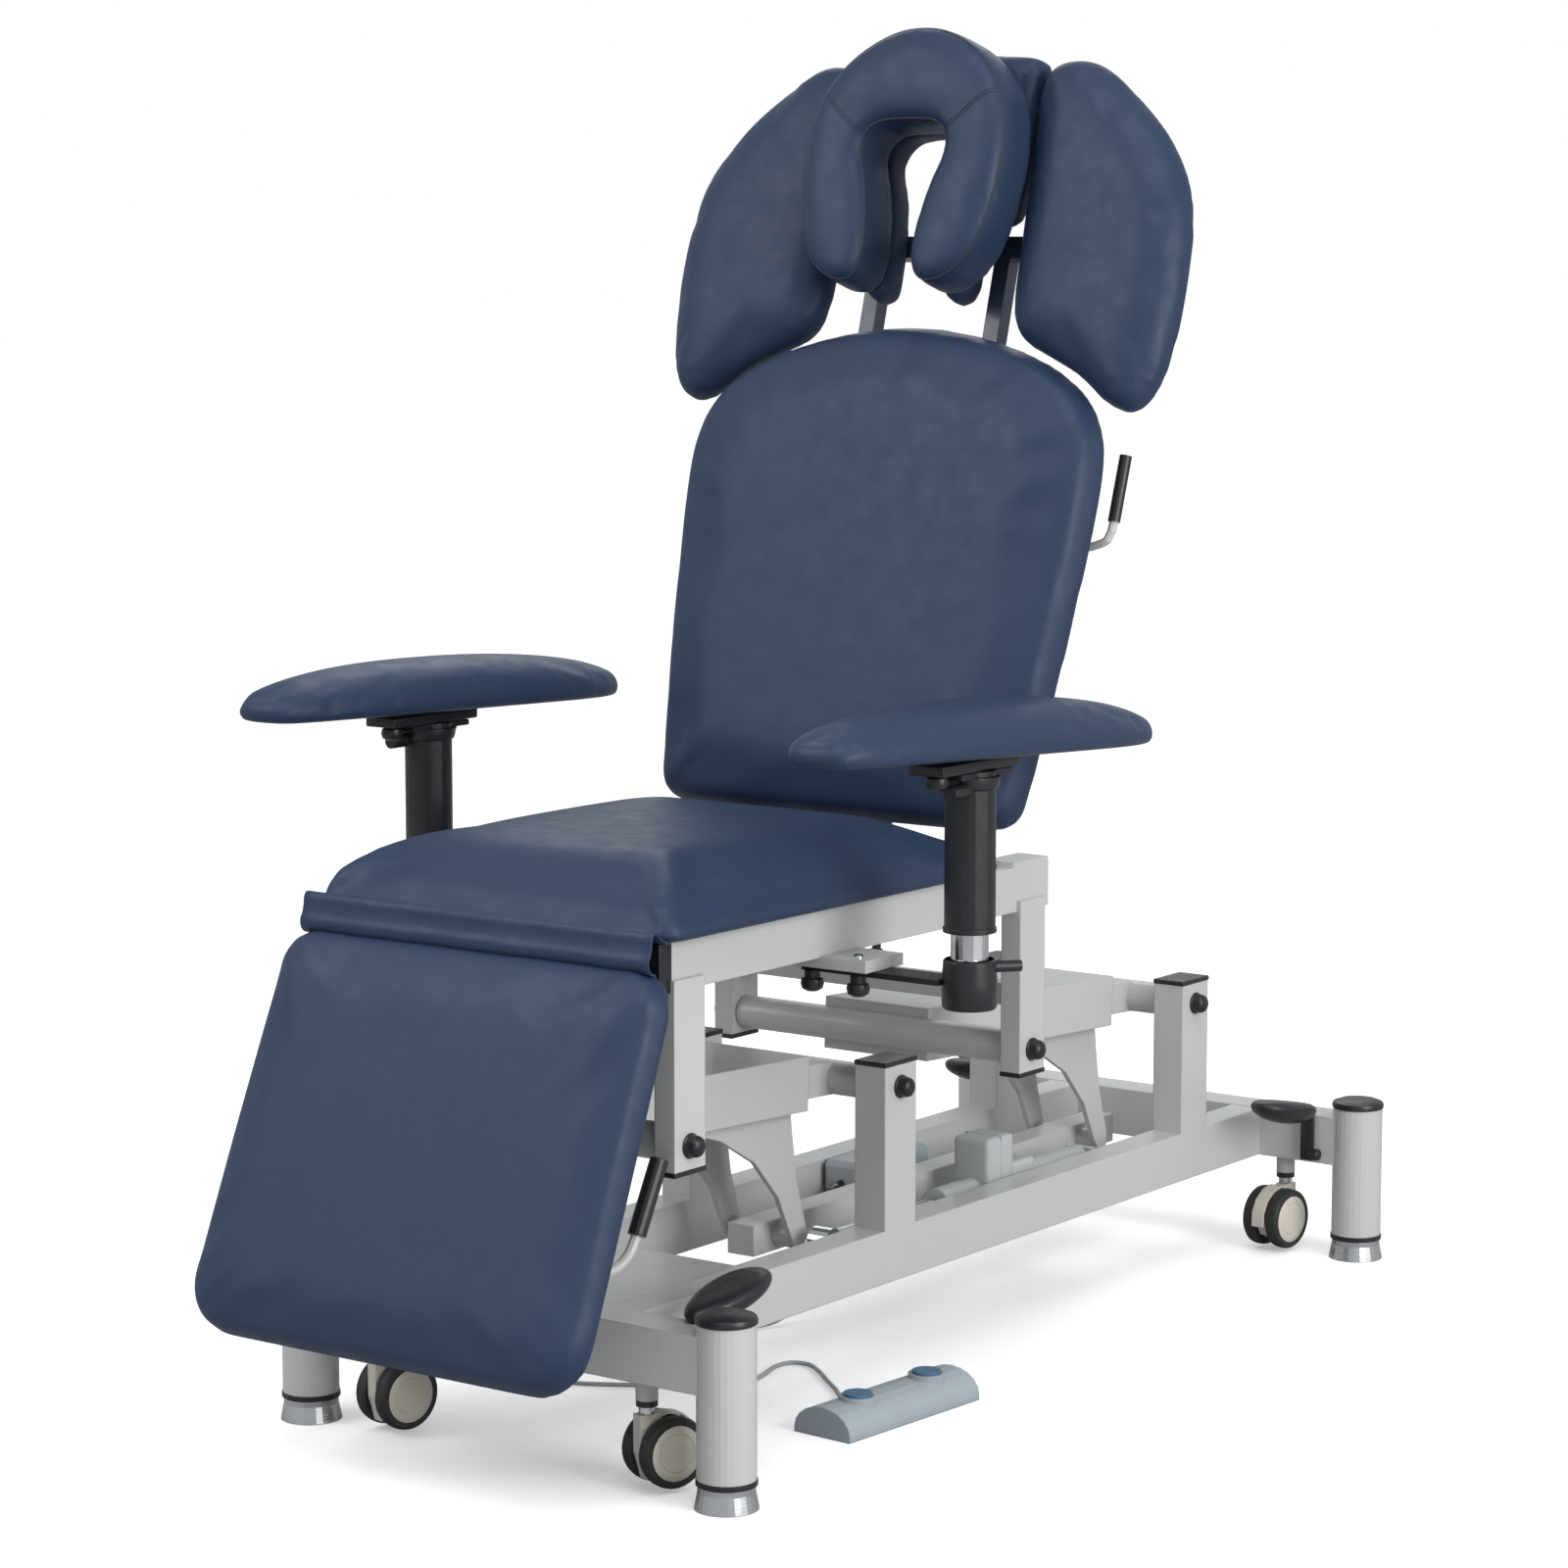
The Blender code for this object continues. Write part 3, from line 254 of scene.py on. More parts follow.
def plastic(name, colour, rough=0.42, edge=0.0015):
    """Moulded plastic with a fine spark texture."""
    made, tree, shader, coords = shader_base(name, colour, rough)
    tree.links.new(tint(tree, noise(tree, coords, 30.0), colour, 0.06), shader.inputs["Base Color"])
    sheen = spread(tree, noise(tree, coords, 120.0), rough - 0.06, rough + 0.10)
    tree.links.new(sheen, shader.inputs["Roughness"])
    bump(tree, shader, noise(tree, coords, 900.0, 1.0), 0.12, 0.0005, soft_edges(tree, edge))
    return made


def steel(name, colour, rough):
    """Turned or drawn metal: fine streaks along the work's direction."""
    made, tree, shader, coords = shader_base(name, colour, rough, 1.0)
    stretch = tree.nodes.new("ShaderNodeMapping")
    stretch.inputs["Scale"].default_value = (40.0, 40.0, 900.0)
    tree.links.new(coords, stretch.inputs["Vector"])
    lines = noise(tree, stretch.outputs["Vector"], 1.0, 4.0, 0.6)
    tree.links.new(tint(tree, lines, colour, 0.08), shader.inputs["Base Color"])
    tree.links.new(spread(tree, lines, rough - 0.06, rough + 0.12), shader.inputs["Roughness"])
    bump(tree, shader, lines, 0.06, 0.0003, soft_edges(tree, 0.0008))
    return made


def two_tone(name, along, limit, near, far):
    """Two finishes on one piece, parted where a point's measure along a direction passes a limit.

    Each finish is (colour, roughness, metal)."""
    made, tree, shader, coords = shader_base(name, far[0], far[1])
    measure = tree.nodes.new("ShaderNodeVectorMath")
    measure.operation = "DOT_PRODUCT"
    measure.inputs[1].default_value = along
    tree.links.new(coords, measure.inputs[0])
    beyond = tree.nodes.new("ShaderNodeMath")
    beyond.operation = "GREATER_THAN"
    beyond.inputs[1].default_value = limit
    tree.links.new(measure.outputs["Value"], beyond.inputs[0])
    colour = tree.nodes.new("ShaderNodeMix")
    colour.data_type = "RGBA"
    tree.links.new(beyond.outputs[0], colour.inputs[0])
    tree.links.new(tint(tree, noise(tree, coords, 40.0), near[0], 0.05), colour.inputs[6])
    tree.links.new(tint(tree, noise(tree, coords, 300.0), far[0], 0.05), colour.inputs[7])
    tree.links.new(colour.outputs[2], shader.inputs["Base Color"])
    for socket, index in (("Roughness", 1), ("Metallic", 2)):
        ranged = tree.nodes.new("ShaderNodeMapRange")
        ranged.inputs["To Min"].default_value = near[index]
        ranged.inputs["To Max"].default_value = far[index]
        tree.links.new(beyond.outputs[0], ranged.inputs["Value"])
        tree.links.new(ranged.outputs["Result"], shader.inputs[socket])
    bump(tree, shader, noise(tree, coords, 700.0, 1.0), 0.05, 0.0004, soft_edges(tree, 0.0015))
    return made


def lever_look(name, matrix, axis, limit):
    """A white tube whose black grip starts at a limit along one of the section's own axes."""
    along = (matrix.to_3x3() @ axis).normalized()
    start = limit + along.dot(matrix.translation)
    return two_tone(name, along, start, (WHITE, 0.28, 0.0), (BLACK, 0.40, 0.0))


def dress_nodes():
    """Gives every CAD node that stays its detailed material."""
    by_slot = {
        "base_frame": "white", "front_deck_plate": "white", "foot_steel": "brushed", "castor_stem": "chrome",
        "castor_fork": "cream", "castor_wheels": "tyre", "pedal": "black", "control_box": "grey",
        "foot_switch": "switch", "foot_button": "blue", "cord": "cord", "lift_arm": "white",
        "actuator_body": "grey", "actuator_rod": "chrome", "upper_frame": "white", "vinyl": "vinyl",
        "section_frame": "white", "lever": "back_lever", "spring_body": "black", "spring_rod": "chrome",
        "head_frame": "navy", "armrest_metal": "armrest", "armrest_post": "black",
    }
    for part in frame["record"]["subparts"]:
        node = NODES[part["node"]]
        look = LOOKS[by_slot[part["material_slot"]]]
        if not node.material_slots:
            node.data.materials.append(look)
        for slot in node.material_slots:
            slot.material = look
    NODES["leg_rest_release_lever"].material_slots[0].material = LOOKS["leg_lever"]
    NODES["face_cushion_mount"].material_slots[0].material = LOOKS["vinyl"]


# ---- shapes -------------------------------------------------------------------------------
def add(name, bm, look, body=None, matrix=None):
    """Makes a piece of the model from a bmesh and hangs it on its body."""
    bmesh.ops.recalc_face_normals(bm, faces=bm.faces)
    mesh = bpy.data.meshes.new(name)
    bm.to_mesh(mesh)
    bm.free()
    if matrix is not None:
        mesh.transform(matrix)
    made = bpy.data.objects.new(name, mesh)
    bpy.context.scene.collection.objects.link(made)
    mesh.shade_smooth()
    mesh.set_sharp_from_angle(angle=math.radians(38))
    mesh.materials.append(look)
    if body:
        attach(made, body)
    return made


def band(bm, low, high):
    """A ring of quads between two loops of points."""
    for k in range(len(low)):
        j = (k + 1) % len(low)
        bm.faces.new((low[k], low[j], high[j], high[k]))


def turned(profile, sides=32):
    """A solid of revolution about Z from (radius, height) points, closed at both ends."""
    bm = bmesh.new()
    rings = []
    for radius, height in profile:
        turn = [2 * math.pi * k / sides for k in range(sides if radius else 1)]
        rings.append([bm.verts.new((radius * math.cos(a), radius * math.sin(a), height)) for a in turn])
    for low, high in zip(rings, rings[1:]):
        for k in range(sides):
            a, b = low[k % len(low)], low[(k + 1) % len(low)]
            c, d = high[(k + 1) % len(high)], high[k % len(high)]
            corners = list(dict.fromkeys((a, b, c, d)))
            if len(corners) > 2:
                bm.faces.new(corners)
    for ring in (rings[0], rings[-1]):
        if len(ring) > 2:
            bm.faces.new(ring)
    return bm


def block(low, high, bevel=0.002, segments=2):
    """A box with rounded edges."""
    bm = bmesh.new()
    bmesh.ops.create_cube(bm, size=1)
    low, high = Vector(low), Vector(high)
    bmesh.ops.scale(bm, vec=high - low, verts=bm.verts)
    bmesh.ops.translate(bm, vec=(low + high) / 2, verts=bm.verts)
    bmesh.ops.bevel(bm, geom=bm.edges[:], offset=bevel, segments=segments, profile=0.6, affect="EDGES")
    return bm


def catmull_rom(spots, steps):
    """The curve from the second spot up to the last but one, which it leaves out."""
    found = []
    for a, b, c, d in zip(spots, spots[1:], spots[2:], spots[3:]):
        for step in range(steps):
            t = step / steps
            spot = (2 * b + (c - a) * t + (2 * a - 5 * b + 4 * c - d) * t**2) / 2
            found.append(spot + (3 * b - a - 3 * c + d) * t**3 / 2)
    return found


def smooth_loop(points, steps):
    """A closed curve through 2D points."""
    spots = [Vector(p) for p in points]
    return catmull_rom([spots[-1], *spots, *spots[:2]], steps)


def smooth_path(points, steps):
    """An open curve through points in space."""
    spots = [Vector(p) for p in points]
    spots = [2 * spots[0] - spots[1], *spots, 2 * spots[-1] - spots[-2]]
    return [*catmull_rom(spots, steps), spots[-2]]


def length_of(spots):
    return sum((b - a).length for a, b in zip(spots, spots[1:]))


def mirrored(half):
    """A whole outline from its right half, which may start and end on x = 0."""
    return half + [(-x, y) for x, y in reversed(half) if x > 0]


def rounded_box_outline(low, high, radii):
    """A rectangle's outline; the corner radii go round from the lowest corner."""
    steps = 6
    corners = ((low[0], low[1]), (high[0], low[1]), (high[0], high[1]), (low[0], high[1]))
    points = []
    for quarter, ((x, y), radius) in enumerate(zip(corners, radii)):
        cx = x + radius * (1 if quarter in (0, 3) else -1)
        cy = y + radius * (1 if quarter in (0, 1) else -1)
        for step in range(steps + 1):
            angle = math.pi + math.pi / 2 * (quarter + step / steps)
            points.append(Vector((cx + radius * math.cos(angle), cy + radius * math.sin(angle))))
    return points


def inset(outline, depth):
    """The outline moved inwards along its own normals."""
    area = sum(a.x * b.y - b.x * a.y for a, b in zip(outline, outline[1:] + outline[:1]))
    way = 1 if area > 0 else -1
    moved = []
    for before, here, after in zip(outline[-1:] + outline[:-1], outline, outline[1:] + outline[:1]):
        along = (after - before).normalized()
        moved.append(here + Vector((-along.y, along.x)) * depth * way)
    return moved


def padded_shell(outline, rings, plane):
    """A closed pad: the outline at several heights, each drawn in by its own inset."""
    place = {
        "XY": lambda p, h: (p.x, p.y, h),
        "XZ": lambda p, h: (p.x, h, p.y),
    }[plane]
    bm = bmesh.new()
    levels = [[bm.verts.new(place(p, height)) for p in inset(outline, depth)] for depth, height in rings]
    for low, high in zip(levels, levels[1:]):
        band(bm, low, high)
    for level in (levels[0], levels[-1]):
        bm.faces.new(level)
    return bm


def baked(made, name):
    """The mesh as its modifiers leave it."""
    bpy.context.view_layer.update()
    graph = bpy.context.evaluated_depsgraph_get()
    mesh = bpy.data.meshes.new_from_object(made.evaluated_get(graph))
    mesh.name = name
    return mesh


class Pad:
    """A padded piece on its way from a plain shell to stuffed vinyl."""

    waiting = []

    def __init__(self, name, shell, body, node, matrix, pinned, cap, voxel, shape=None, rounds=5):
        """pinned says which points are stapled, and cap how far the others may go at most."""
        self.name, self.body, self.node, self.rounds = name, body, node, rounds
        self.matrix, self.pinned, self.cap, self.shape = matrix, pinned, cap, shape
        self.object = add(name, shell, LOOKS["vinyl"])
        remesh = self.object.modifiers.new("remesh", "REMESH")
        remesh.mode, remesh.voxel_size = "VOXEL", voxel * 1
        self.object.data = baked(self.object, name)
        self.object.modifiers.clear()
        self.start = [v.co.copy() for v in self.object.data.vertices]
        Pad.waiting.append(self)

    def sew(self):
        """Adds the cloth, held where the vinyl is stapled to its board."""
        group = self.object.vertex_groups.new(name="stapled")
        group.add([k for k, co in enumerate(self.start) if self.pinned(co)], 1.0, "REPLACE")
        cloth = self.object.modifiers.new("vinyl", "CLOTH")
        cloth.settings.vertex_group_mass = "stapled"
        cloth.settings.use_pressure = True
        cloth.settings.uniform_pressure_force = 4.0
        cloth.settings.effector_weights.gravity = 0.0
        cloth.settings.quality = 5
        cloth.settings.mass = 0.3
        cloth.settings.tension_stiffness = cloth.settings.compression_stiffness = 20.0
        cloth.settings.bending_stiffness = 0.6
        cloth.collision_settings.use_collision = False

    def settle(self):
        """Applies the cloth, caps how far each point went, and rounds the mesh."""
        self.object.data = baked(self.object, self.name)
        self.object.modifiers.clear()
        for vertex, start in zip(self.object.data.vertices, self.start):
            moved = vertex.co - start
            if moved.length > 1e-9:
                reach = self.cap * math.tanh(moved.length / self.cap)
                vertex.co = start + moved * min(1.0, reach / moved.length)
        if self.shape:
            for vertex in self.object.data.vertices:
                vertex.co = self.shape(vertex.co)
        soften = self.object.modifiers.new("smooth", "SMOOTH")
        soften.factor, soften.iterations = 0.5, self.rounds
        finer = self.object.modifiers.new("finer", "SUBSURF")
        finer.levels = finer.render_levels = 1
        self.object.data = baked(self.object, self.name)
        self.object.modifiers.clear()
        mesh = self.object.data
        mesh.transform(self.matrix)
        mesh.shade_smooth()
        mesh.materials.clear()
        mesh.materials.append(LOOKS["vinyl"])
        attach(self.object, self.body)
        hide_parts(self.node)


def plump_pads():
    """Runs the cloth of every pad at once."""
    for pad in Pad.waiting:
        pad.sew()
    for step in range(1, 21):
        bpy.context.scene.frame_set(step)
    for pad in Pad.waiting:
        pad.settle()
    bpy.context.scene.frame_set(1)


# ---- upholstery ---------------------------------------------------------------------------
def seat_pad():
    """The seat, crowned towards its front."""
    low, high = corner("seat_cushion", 0), corner("seat_cushion", 1)
    outline = rounded_box_outline((low.x + 0.002, low.y - 0.002), (high.x - 0.002, high.y), (0.03,) * 4)
    base = low.z + 0.0015
    rings = [(0.012, base), (0.002, base + 0.004), (0.0, base + 0.014), (0.004, base + 0.030),
             (0.013, base + 0.043), (0.032, base + 0.053), (0.066, base + 0.058)]

    def wrinkled(co):
        """Falls away towards the back; gathers at the front corners, where the vinyl is folded under."""
        rear = min(1.0, max(0.0, (high.y - co.y) / 0.18))
        full = 0.45 + 0.55 * rear * rear * (3 - 2 * rear)
        if co.z > base + 0.014:
            co = Vector((co.x, co.y, base + 0.014 + (co.z - base - 0.014) * full))
        for way in (1, -1):
            near = Vector((co.x - way * (high.x - 0.025), co.y - (low.y + 0.02), (co.z - base - 0.006) * 1.6))
            fall = math.exp(-((near.length / 0.034) ** 2))
            if fall > 0.02:
                ripple = math.sin((co.x * way - co.y) * 520.0) * 0.0016 * fall
                co = co + Vector((way * ripple, -ripple, 0))
        return co

    Pad("seat_vinyl", padded_shell(outline, rings, "XY"), "upper_frame", "seat_cushion",
        Matrix.Identity(4), lambda co: co.z < base + 0.006, 0.018, 0.0075, wrinkled, 16)


def leg_pad():
    """Its outline narrows a little towards the seat."""
    half, foot, top = 0.2535, -0.437, -0.009
    outline = rounded_box_outline((-half, foot), (half, top), (0.058, 0.058, 0.046, 0.046))
    outline = [Vector((p.x * (1.010 - 0.035 * (p.y - foot) / (top - foot)), p.y)) for p in outline]
    rings = [(0.006, -0.0060), (0.0, -0.0020), (0.0, 0.0200), (0.003, 0.0290), (0.012, 0.0350),
             (0.030, 0.0372)]
    Pad("leg_rest_vinyl", padded_shell(outline, rings, "XY"), "leg_rest", "leg_rest_cushion",
        LEG, lambda co: co.z < 0.006, 0.006, 0.0075, rounds=9)


def back_pad():
    """The backrest, wider at the shoulders than at the hips."""
    half = [(0.0, 0.053), (0.150, 0.053), (0.205, 0.055), (0.236, 0.066), (0.2455, 0.095), (0.253, 0.160),
            (0.263, 0.245), (0.272, 0.350), (0.2775, 0.430), (0.275, 0.475), (0.264, 0.512), (0.240, 0.545),
            (0.200, 0.572), (0.150, 0.593), (0.080, 0.611), (0.0, 0.618)]
    outline = smooth_loop(mirrored(half), 2)
    rings = [(0.008, -0.0285), (0.001, -0.0320), (0.0, -0.0420), (0.0, -0.0640), (0.006, -0.0740),
             (0.020, -0.0805), (0.045, -0.0830)]
    Pad("backrest_vinyl", padded_shell(outline, rings, "XZ"), "backrest", "backrest_cushion",
        BACK, lambda co: co.y > -0.045, 0.009, 0.0075, rounds=12)


def wing_pads():
    """The two ear-shaped pads beside the face cradle."""
    outline = [(0.150, 0.306), (0.190, 0.303), (0.233, 0.273), (0.281, 0.230), (0.317, 0.180),
               (0.334, 0.130), (0.339, 0.070), (0.338, 0.018), (0.330, -0.043), (0.312, -0.080),
               (0.289, -0.090), (0.262, -0.078), (0.225, -0.050), (0.180, -0.029), (0.145, -0.011),
               (0.130, 0.022), (0.126, 0.085), (0.122, 0.193), (0.120, 0.255), (0.128, 0.290)]
    rings = [(0.010, -0.0205), (0.002, -0.0240), (0.0, -0.0330), (0.001, -0.0480), (0.010, -0.0610),
             (0.026, -0.0680), (0.042, -0.0690)]
    for side, way in SIDES:
        shape = [Vector((way * p.x, p.y + HEAD_BASE)) for p in smooth_loop(outline, 3)]
        Pad(f"head_wing_vinyl_{side}", padded_shell(shape, rings, "XZ"), "head_section",
            f"head_wing_{side}", BACK, lambda co: co.y > -0.030, 0.007, 0.0062)


def horseshoe(outer, slot):
    """A closed outline from one side's outer and slot points, mirrored across x = 0."""
    loop = smooth_loop(mirrored([*reversed(slot), *outer]), 3)
    return [Vector((p.x, p.y + HEAD_BASE)) for p in loop]


def head_centre():
    """The padded panel behind the face cushion."""
    outer = [(0.047, 0.0285), (0.059, 0.029), (0.069, 0.040), (0.0715, 0.060), (0.0720, 0.110),
             (0.080, 0.117), (0.100, 0.119), (0.113, 0.128), (0.118, 0.150), (0.1185, 0.220), (0.1190, 0.260),
             (0.122, 0.288), (0.120, 0.302), (0.106, 0.310), (0.040, 0.313)]
    slot = [(0.037, 0.040), (0.0365, 0.060), (0.038, 0.100), (0.046, 0.150), (0.058, 0.185),
            (0.052, 0.206), (0.030, 0.219)]
    rings = [(0.005, -0.0210), (0.0, -0.0240), (0.0, -0.0500), (0.004, -0.0580), (0.010, -0.0615)]
    Pad("head_centre_vinyl", padded_shell(horseshoe(outer, slot), rings, "XZ"), "face_cradle",
        "head_centre_panel", BACK, lambda co: co.y > -0.030, 0.003, 0.0058)


CRADLE_OUTER = [(0.046, 0.034), (0.062, 0.031), (0.082, 0.037), (0.101, 0.051), (0.117, 0.074),
                (0.128, 0.106), (0.1345, 0.147), (0.1355, 0.195), (0.128, 0.238), (0.112, 0.268),
                (0.085, 0.296), (0.050, 0.317), (0.018, 0.326)]
CRADLE_SLOT = [(0.035, 0.046), (0.031, 0.066), (0.031, 0.090), (0.036, 0.121), (0.043, 0.151),
               (0.053, 0.180), (0.050, 0.202), (0.028, 0.214)]


def face_pad():
    """The horseshoe cushion that the face rests in."""
    rings = [(0.004, -0.0632), (0.0, -0.0670), (0.001, -0.1060), (0.004, -0.1200), (0.010, -0.1290),
             (0.018, -0.1325)]
    return Pad("face_cushion_vinyl", padded_shell(horseshoe(CRADLE_OUTER, CRADLE_SLOT), rings, "XZ"),
               "face_cradle", "face_cushion", BACK, lambda co: co.y > -0.070, 0.006, 0.0052)


def swept(points, radius, sides, closed=False):
    """A round tube along the points."""
    bm = bmesh.new()
    count = len(points)
    rings = []
    side = None
    for k, spot in enumerate(points):
        before = points[k - 1] if k or closed else spot
        after = points[(k + 1) % count] if k + 1 < count or closed else spot
        along = (after - before).normalized()
        side = along.orthogonal() if side is None else side - along * side.dot(along)
        side.normalize()
        up = along.cross(side)
        turn = [2 * math.pi * j / sides for j in range(sides)]
        rings.append([bm.verts.new(spot + side * radius * math.cos(a) + up * radius * math.sin(a))
                      for a in turn])
    pairs = list(zip(rings, rings[1:]))
    if closed:
        last = min(range(sides), key=lambda j: (rings[0][j].co - rings[-1][0].co).length)
        pairs.append((rings[-1], rings[0][last:] + rings[0][:last]))
    else:
        bm.faces.new(rings[0])
        bm.faces.new(rings[-1])
    for low, high in pairs:
        band(bm, low, high)
    return bm


def cradle_seams(pad):
    """The piping round the front edge, and two pairs of stitched seams from it to the hole's top."""
    bpy.context.view_layer.update()
    surface = BVHTree.FromObject(pad.object, bpy.context.evaluated_depsgraph_get())
    facing = BACK.to_3x3() @ Vector((0, 1, 0))

    def on_vinyl(x, s, lift):
        """The front surface's point at a place of the head's own plane, lifted off it a little."""
        hit = surface.ray_cast(BACK @ Vector((x, -0.30, s + HEAD_BASE)), facing)[0]
        return hit - facing * lift if hit else None

    loop = inset(horseshoe(CRADLE_OUTER, CRADLE_SLOT), 0.0045)
    rim = [on_vinyl(p.x, p.y - HEAD_BASE, 0.0002) for p in loop]
    piping = swept([p for p in rim if p], 0.0014, 8, True)
    add("face_cushion_piping", piping, LOOKS["thread"], "face_cradle")
    route = smooth_path([(0.118, 0.250), (0.104, 0.242), (0.086, 0.226), (0.070, 0.213), (0.056, 0.205)], 4)
    for side, way in SIDES:
        for k, shift in enumerate((-0.0022, 0.0022)):
            spots = [on_vinyl(way * x, s + shift, 0.0001) for x, s in route]
            seam = swept([p for p in spots if p], 0.0007, 6)
            add(f"face_cushion_seam_{side}_{k}", seam, LOOKS["thread"], "face_cradle")


def arm_pads():
    """The long armrest pads, shorter than their CAD solids by the squeeze about their middle."""
    half = [(0.0, -0.288), (0.026, -0.284), (0.044, -0.262), (0.056, -0.205), (0.066, -0.110),
            (0.070, 0.0), (0.069, 0.110), (0.064, 0.195), (0.052, 0.268), (0.030, 0.314), (0.0, 0.326)]
    heel, middle, squeeze = 0.288, 0.019, 0.962
    rings = [(0.014, 0.7215), (0.004, 0.7240), (0.0, 0.7310), (0.0, 0.7460), (0.006, 0.7570), (0.018, 0.7640),
             (0.034, 0.7680)]
    for side, way in SIDES:
        low, high = corner(f"{side}_armrest_pad", 0), corner(f"{side}_armrest_pad", 1)
        x, y = (low.x + high.x) / 2, low.y + heel
        outline = [Vector((x + p.x, y + middle + (p.y - middle) * squeeze))
                   for p in smooth_loop(mirrored(half), 2)]

        def crowned(co, y=y, slope=0.050 if way > 0 else 0.032):
            """Tips that droop and thin out, with small gathers under them; the pad slopes end to end."""
            reach = (co.y - y - middle) / 0.307
            drop = 0.018 * abs(reach) ** 2.4
            rise = (co.z - 0.7215) / 0.050
            ripple = 0.0011 * math.sin(co.x * 620.0) * max(0.0, abs(reach) - 0.78) / 0.22 * (1 - min(1, rise))
            sunk = drop * max(0.0, rise) * 0.9 - 0.003 * (1 - reach**2) + slope * (co.y - y)
            return Vector((co.x, co.y + ripple, co.z - sunk + ripple))

        Pad(f"{side}_armrest_vinyl", padded_shell(outline, rings, "XY"), f"{side}_armrest_pad",
            f"{side}_armrest_pad", Matrix.Identity(4), lambda co: co.z < 0.7255, 0.012, 0.0058, crowned)


def flap():
    """The vinyl strip that bridges the seat and the leg rest, its top hem curled over."""
    half, across = 0.226, 40
    seat_y = corner("seat_cushion", 0).y
    profile = [(0.0120, 0.5600), (-0.0020, 0.5655), (-0.0080, 0.5720), (-0.0135, 0.5735), (-0.0170, 0.5690),
               (-0.0180, 0.5610), (-0.0200, 0.5530), (-0.0230, 0.5470), (-0.0225, 0.5400), (-0.0185, 0.5345),
               (-0.0110, 0.5320)]
    path = smooth_path([(0, seat_y + y, z) for y, z in profile], 3)
    bm = bmesh.new()
    rows = []
    for spot in path:
        row = []
        for k in range(across + 1):
            x = -half + 2 * half * k / across
            wave = 0.0008 * math.sin(x * 41.0 + spot.z * 30.0) + 0.0006 * math.sin(x * 97.0)
            row.append(bm.verts.new((x, spot.y + wave, spot.z)))
        rows.append(row)
    for low, high in zip(rows, rows[1:]):
        for k in range(across):
            bm.faces.new((low[k], low[k + 1], high[k + 1], high[k]))
    strip = add("seat_front_flap", bm, LOOKS["vinyl"])
    thick = strip.modifiers.new("thick", "SOLIDIFY")
    thick.thickness, thick.offset = 0.0022, 0.0
    strip.data = baked(strip, "seat_front_flap")
    strip.modifiers.clear()
    strip.data.shade_smooth()
    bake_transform(strip)


# ---- caps, nuts and other fittings ---------------------------------------------------------
def motor():
    """The actuator's tube, its gearbox and the upright motor housing with its parting line."""
    place = Matrix.Translation(JOINTS["actuator_swing"]["pos_m"])
    facing = Matrix.Rotation(math.pi / 2, 4, "X")
    body = "actuator_housing"
    tube = turned([(0.0105, 0.2895), (0.0186, 0.2890), (0.0190, 0.2870), (0.0190, -0.0060), (0.0175, -0.0080),
                   (0, -0.0080)], 36)
    housing = add("actuator_tube", tube, LOOKS["motor"], body, place @ facing)
    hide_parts("actuator_housing")
    shell = block((-0.0245, -0.218, -0.0150), (0.0245, -0.164, 0.0655), 0.0070, 4)
    add("motor_housing", shell, LOOKS["motor"], body, place)
    seam = block((-0.0248, -0.1925, -0.0130), (0.0248, -0.1912, 0.0658), 0.0005, 1)
    add("motor_parting_line", seam, LOOKS["grey"], body, place)
    gear = block((-0.0235, -0.164, -0.0150), (0.0235, -0.118, 0.0300), 0.0050, 3)
    add("motor_gearbox", gear, LOOKS["motor"], body, place)


def block_about(middle, half, low, high, bevel, segments):
    """A rounded box from its middle and half sizes in plan, and its lower and upper height."""
    (x, y), (half_x, half_y) = middle, half
    return block((x - half_x, y - half_y, low), (x + half_x, y + half_y, high), bevel, segments)


def frame_caps():
    """Plugs and covers on the ends of the base's and upper frame's tubes, and the pivots' nuts."""
    dome = [(0.0306, 0.1862), (0.0312, 0.1868), (0.0314, 0.1905), (0.0300, 0.1935), (0.0230, 0.1962),
            (0.0120, 0.1974), (0, 0.1978)]
    ring = [(0.0301, 0.0236), (0.0311, 0.0242), (0.0311, 0.0292), (0.0301, 0.0298)]
    for side, way in SIDES:
        for end, end_way in ENDS:
            at = Matrix.Translation((way * COLUMN_X, BASE_Y + end_way * COLUMN_Y, 0))
            add(f"{end}_{side}_column_cap", turned(dome), LOOKS["black"], "base", at)
            add(f"{end}_{side}_foot_ring", turned(ring), LOOKS["black"], "base", at)
        for end, pivot_y in (("front", -0.1635), ("rear", 0.4585)):
            post_y = BASE_Y + pivot_y
            leg_y = post_y - 0.4512
            cap = block_about((way * 0.132, post_y), (0.0212, 0.0307), 0.3530, 0.3588, 0.0022, 3)
            add(f"{end}_{side}_post_cap", cap, LOOKS["black"], "base")
            nut(f"{end}_{side}_post_nut", (way * 0.152, post_y, 0.329), way, "base")
            nut(f"{end}_{side}_leg_nut", (way * 0.210, leg_y, 0.350), way, "upper_frame")
            cap = block_about((way * 0.1975, leg_y), (0.0135, 0.0262), 0.3205, 0.3262, 0.0018, 2)
            add(f"{end}_{side}_leg_cap", cap, LOOKS["black"], "upper_frame")
        low = (way * 0.185 - 0.0207, RAIL_FRONT - 0.0035, 0.5053)
        high = (way * 0.185 + 0.0207, RAIL_FRONT + 0.0170, 0.5566)
        add(f"{side}_rail_cap", block(low, high, 0.0020, 2), LOOKS["black"], "upper_frame")


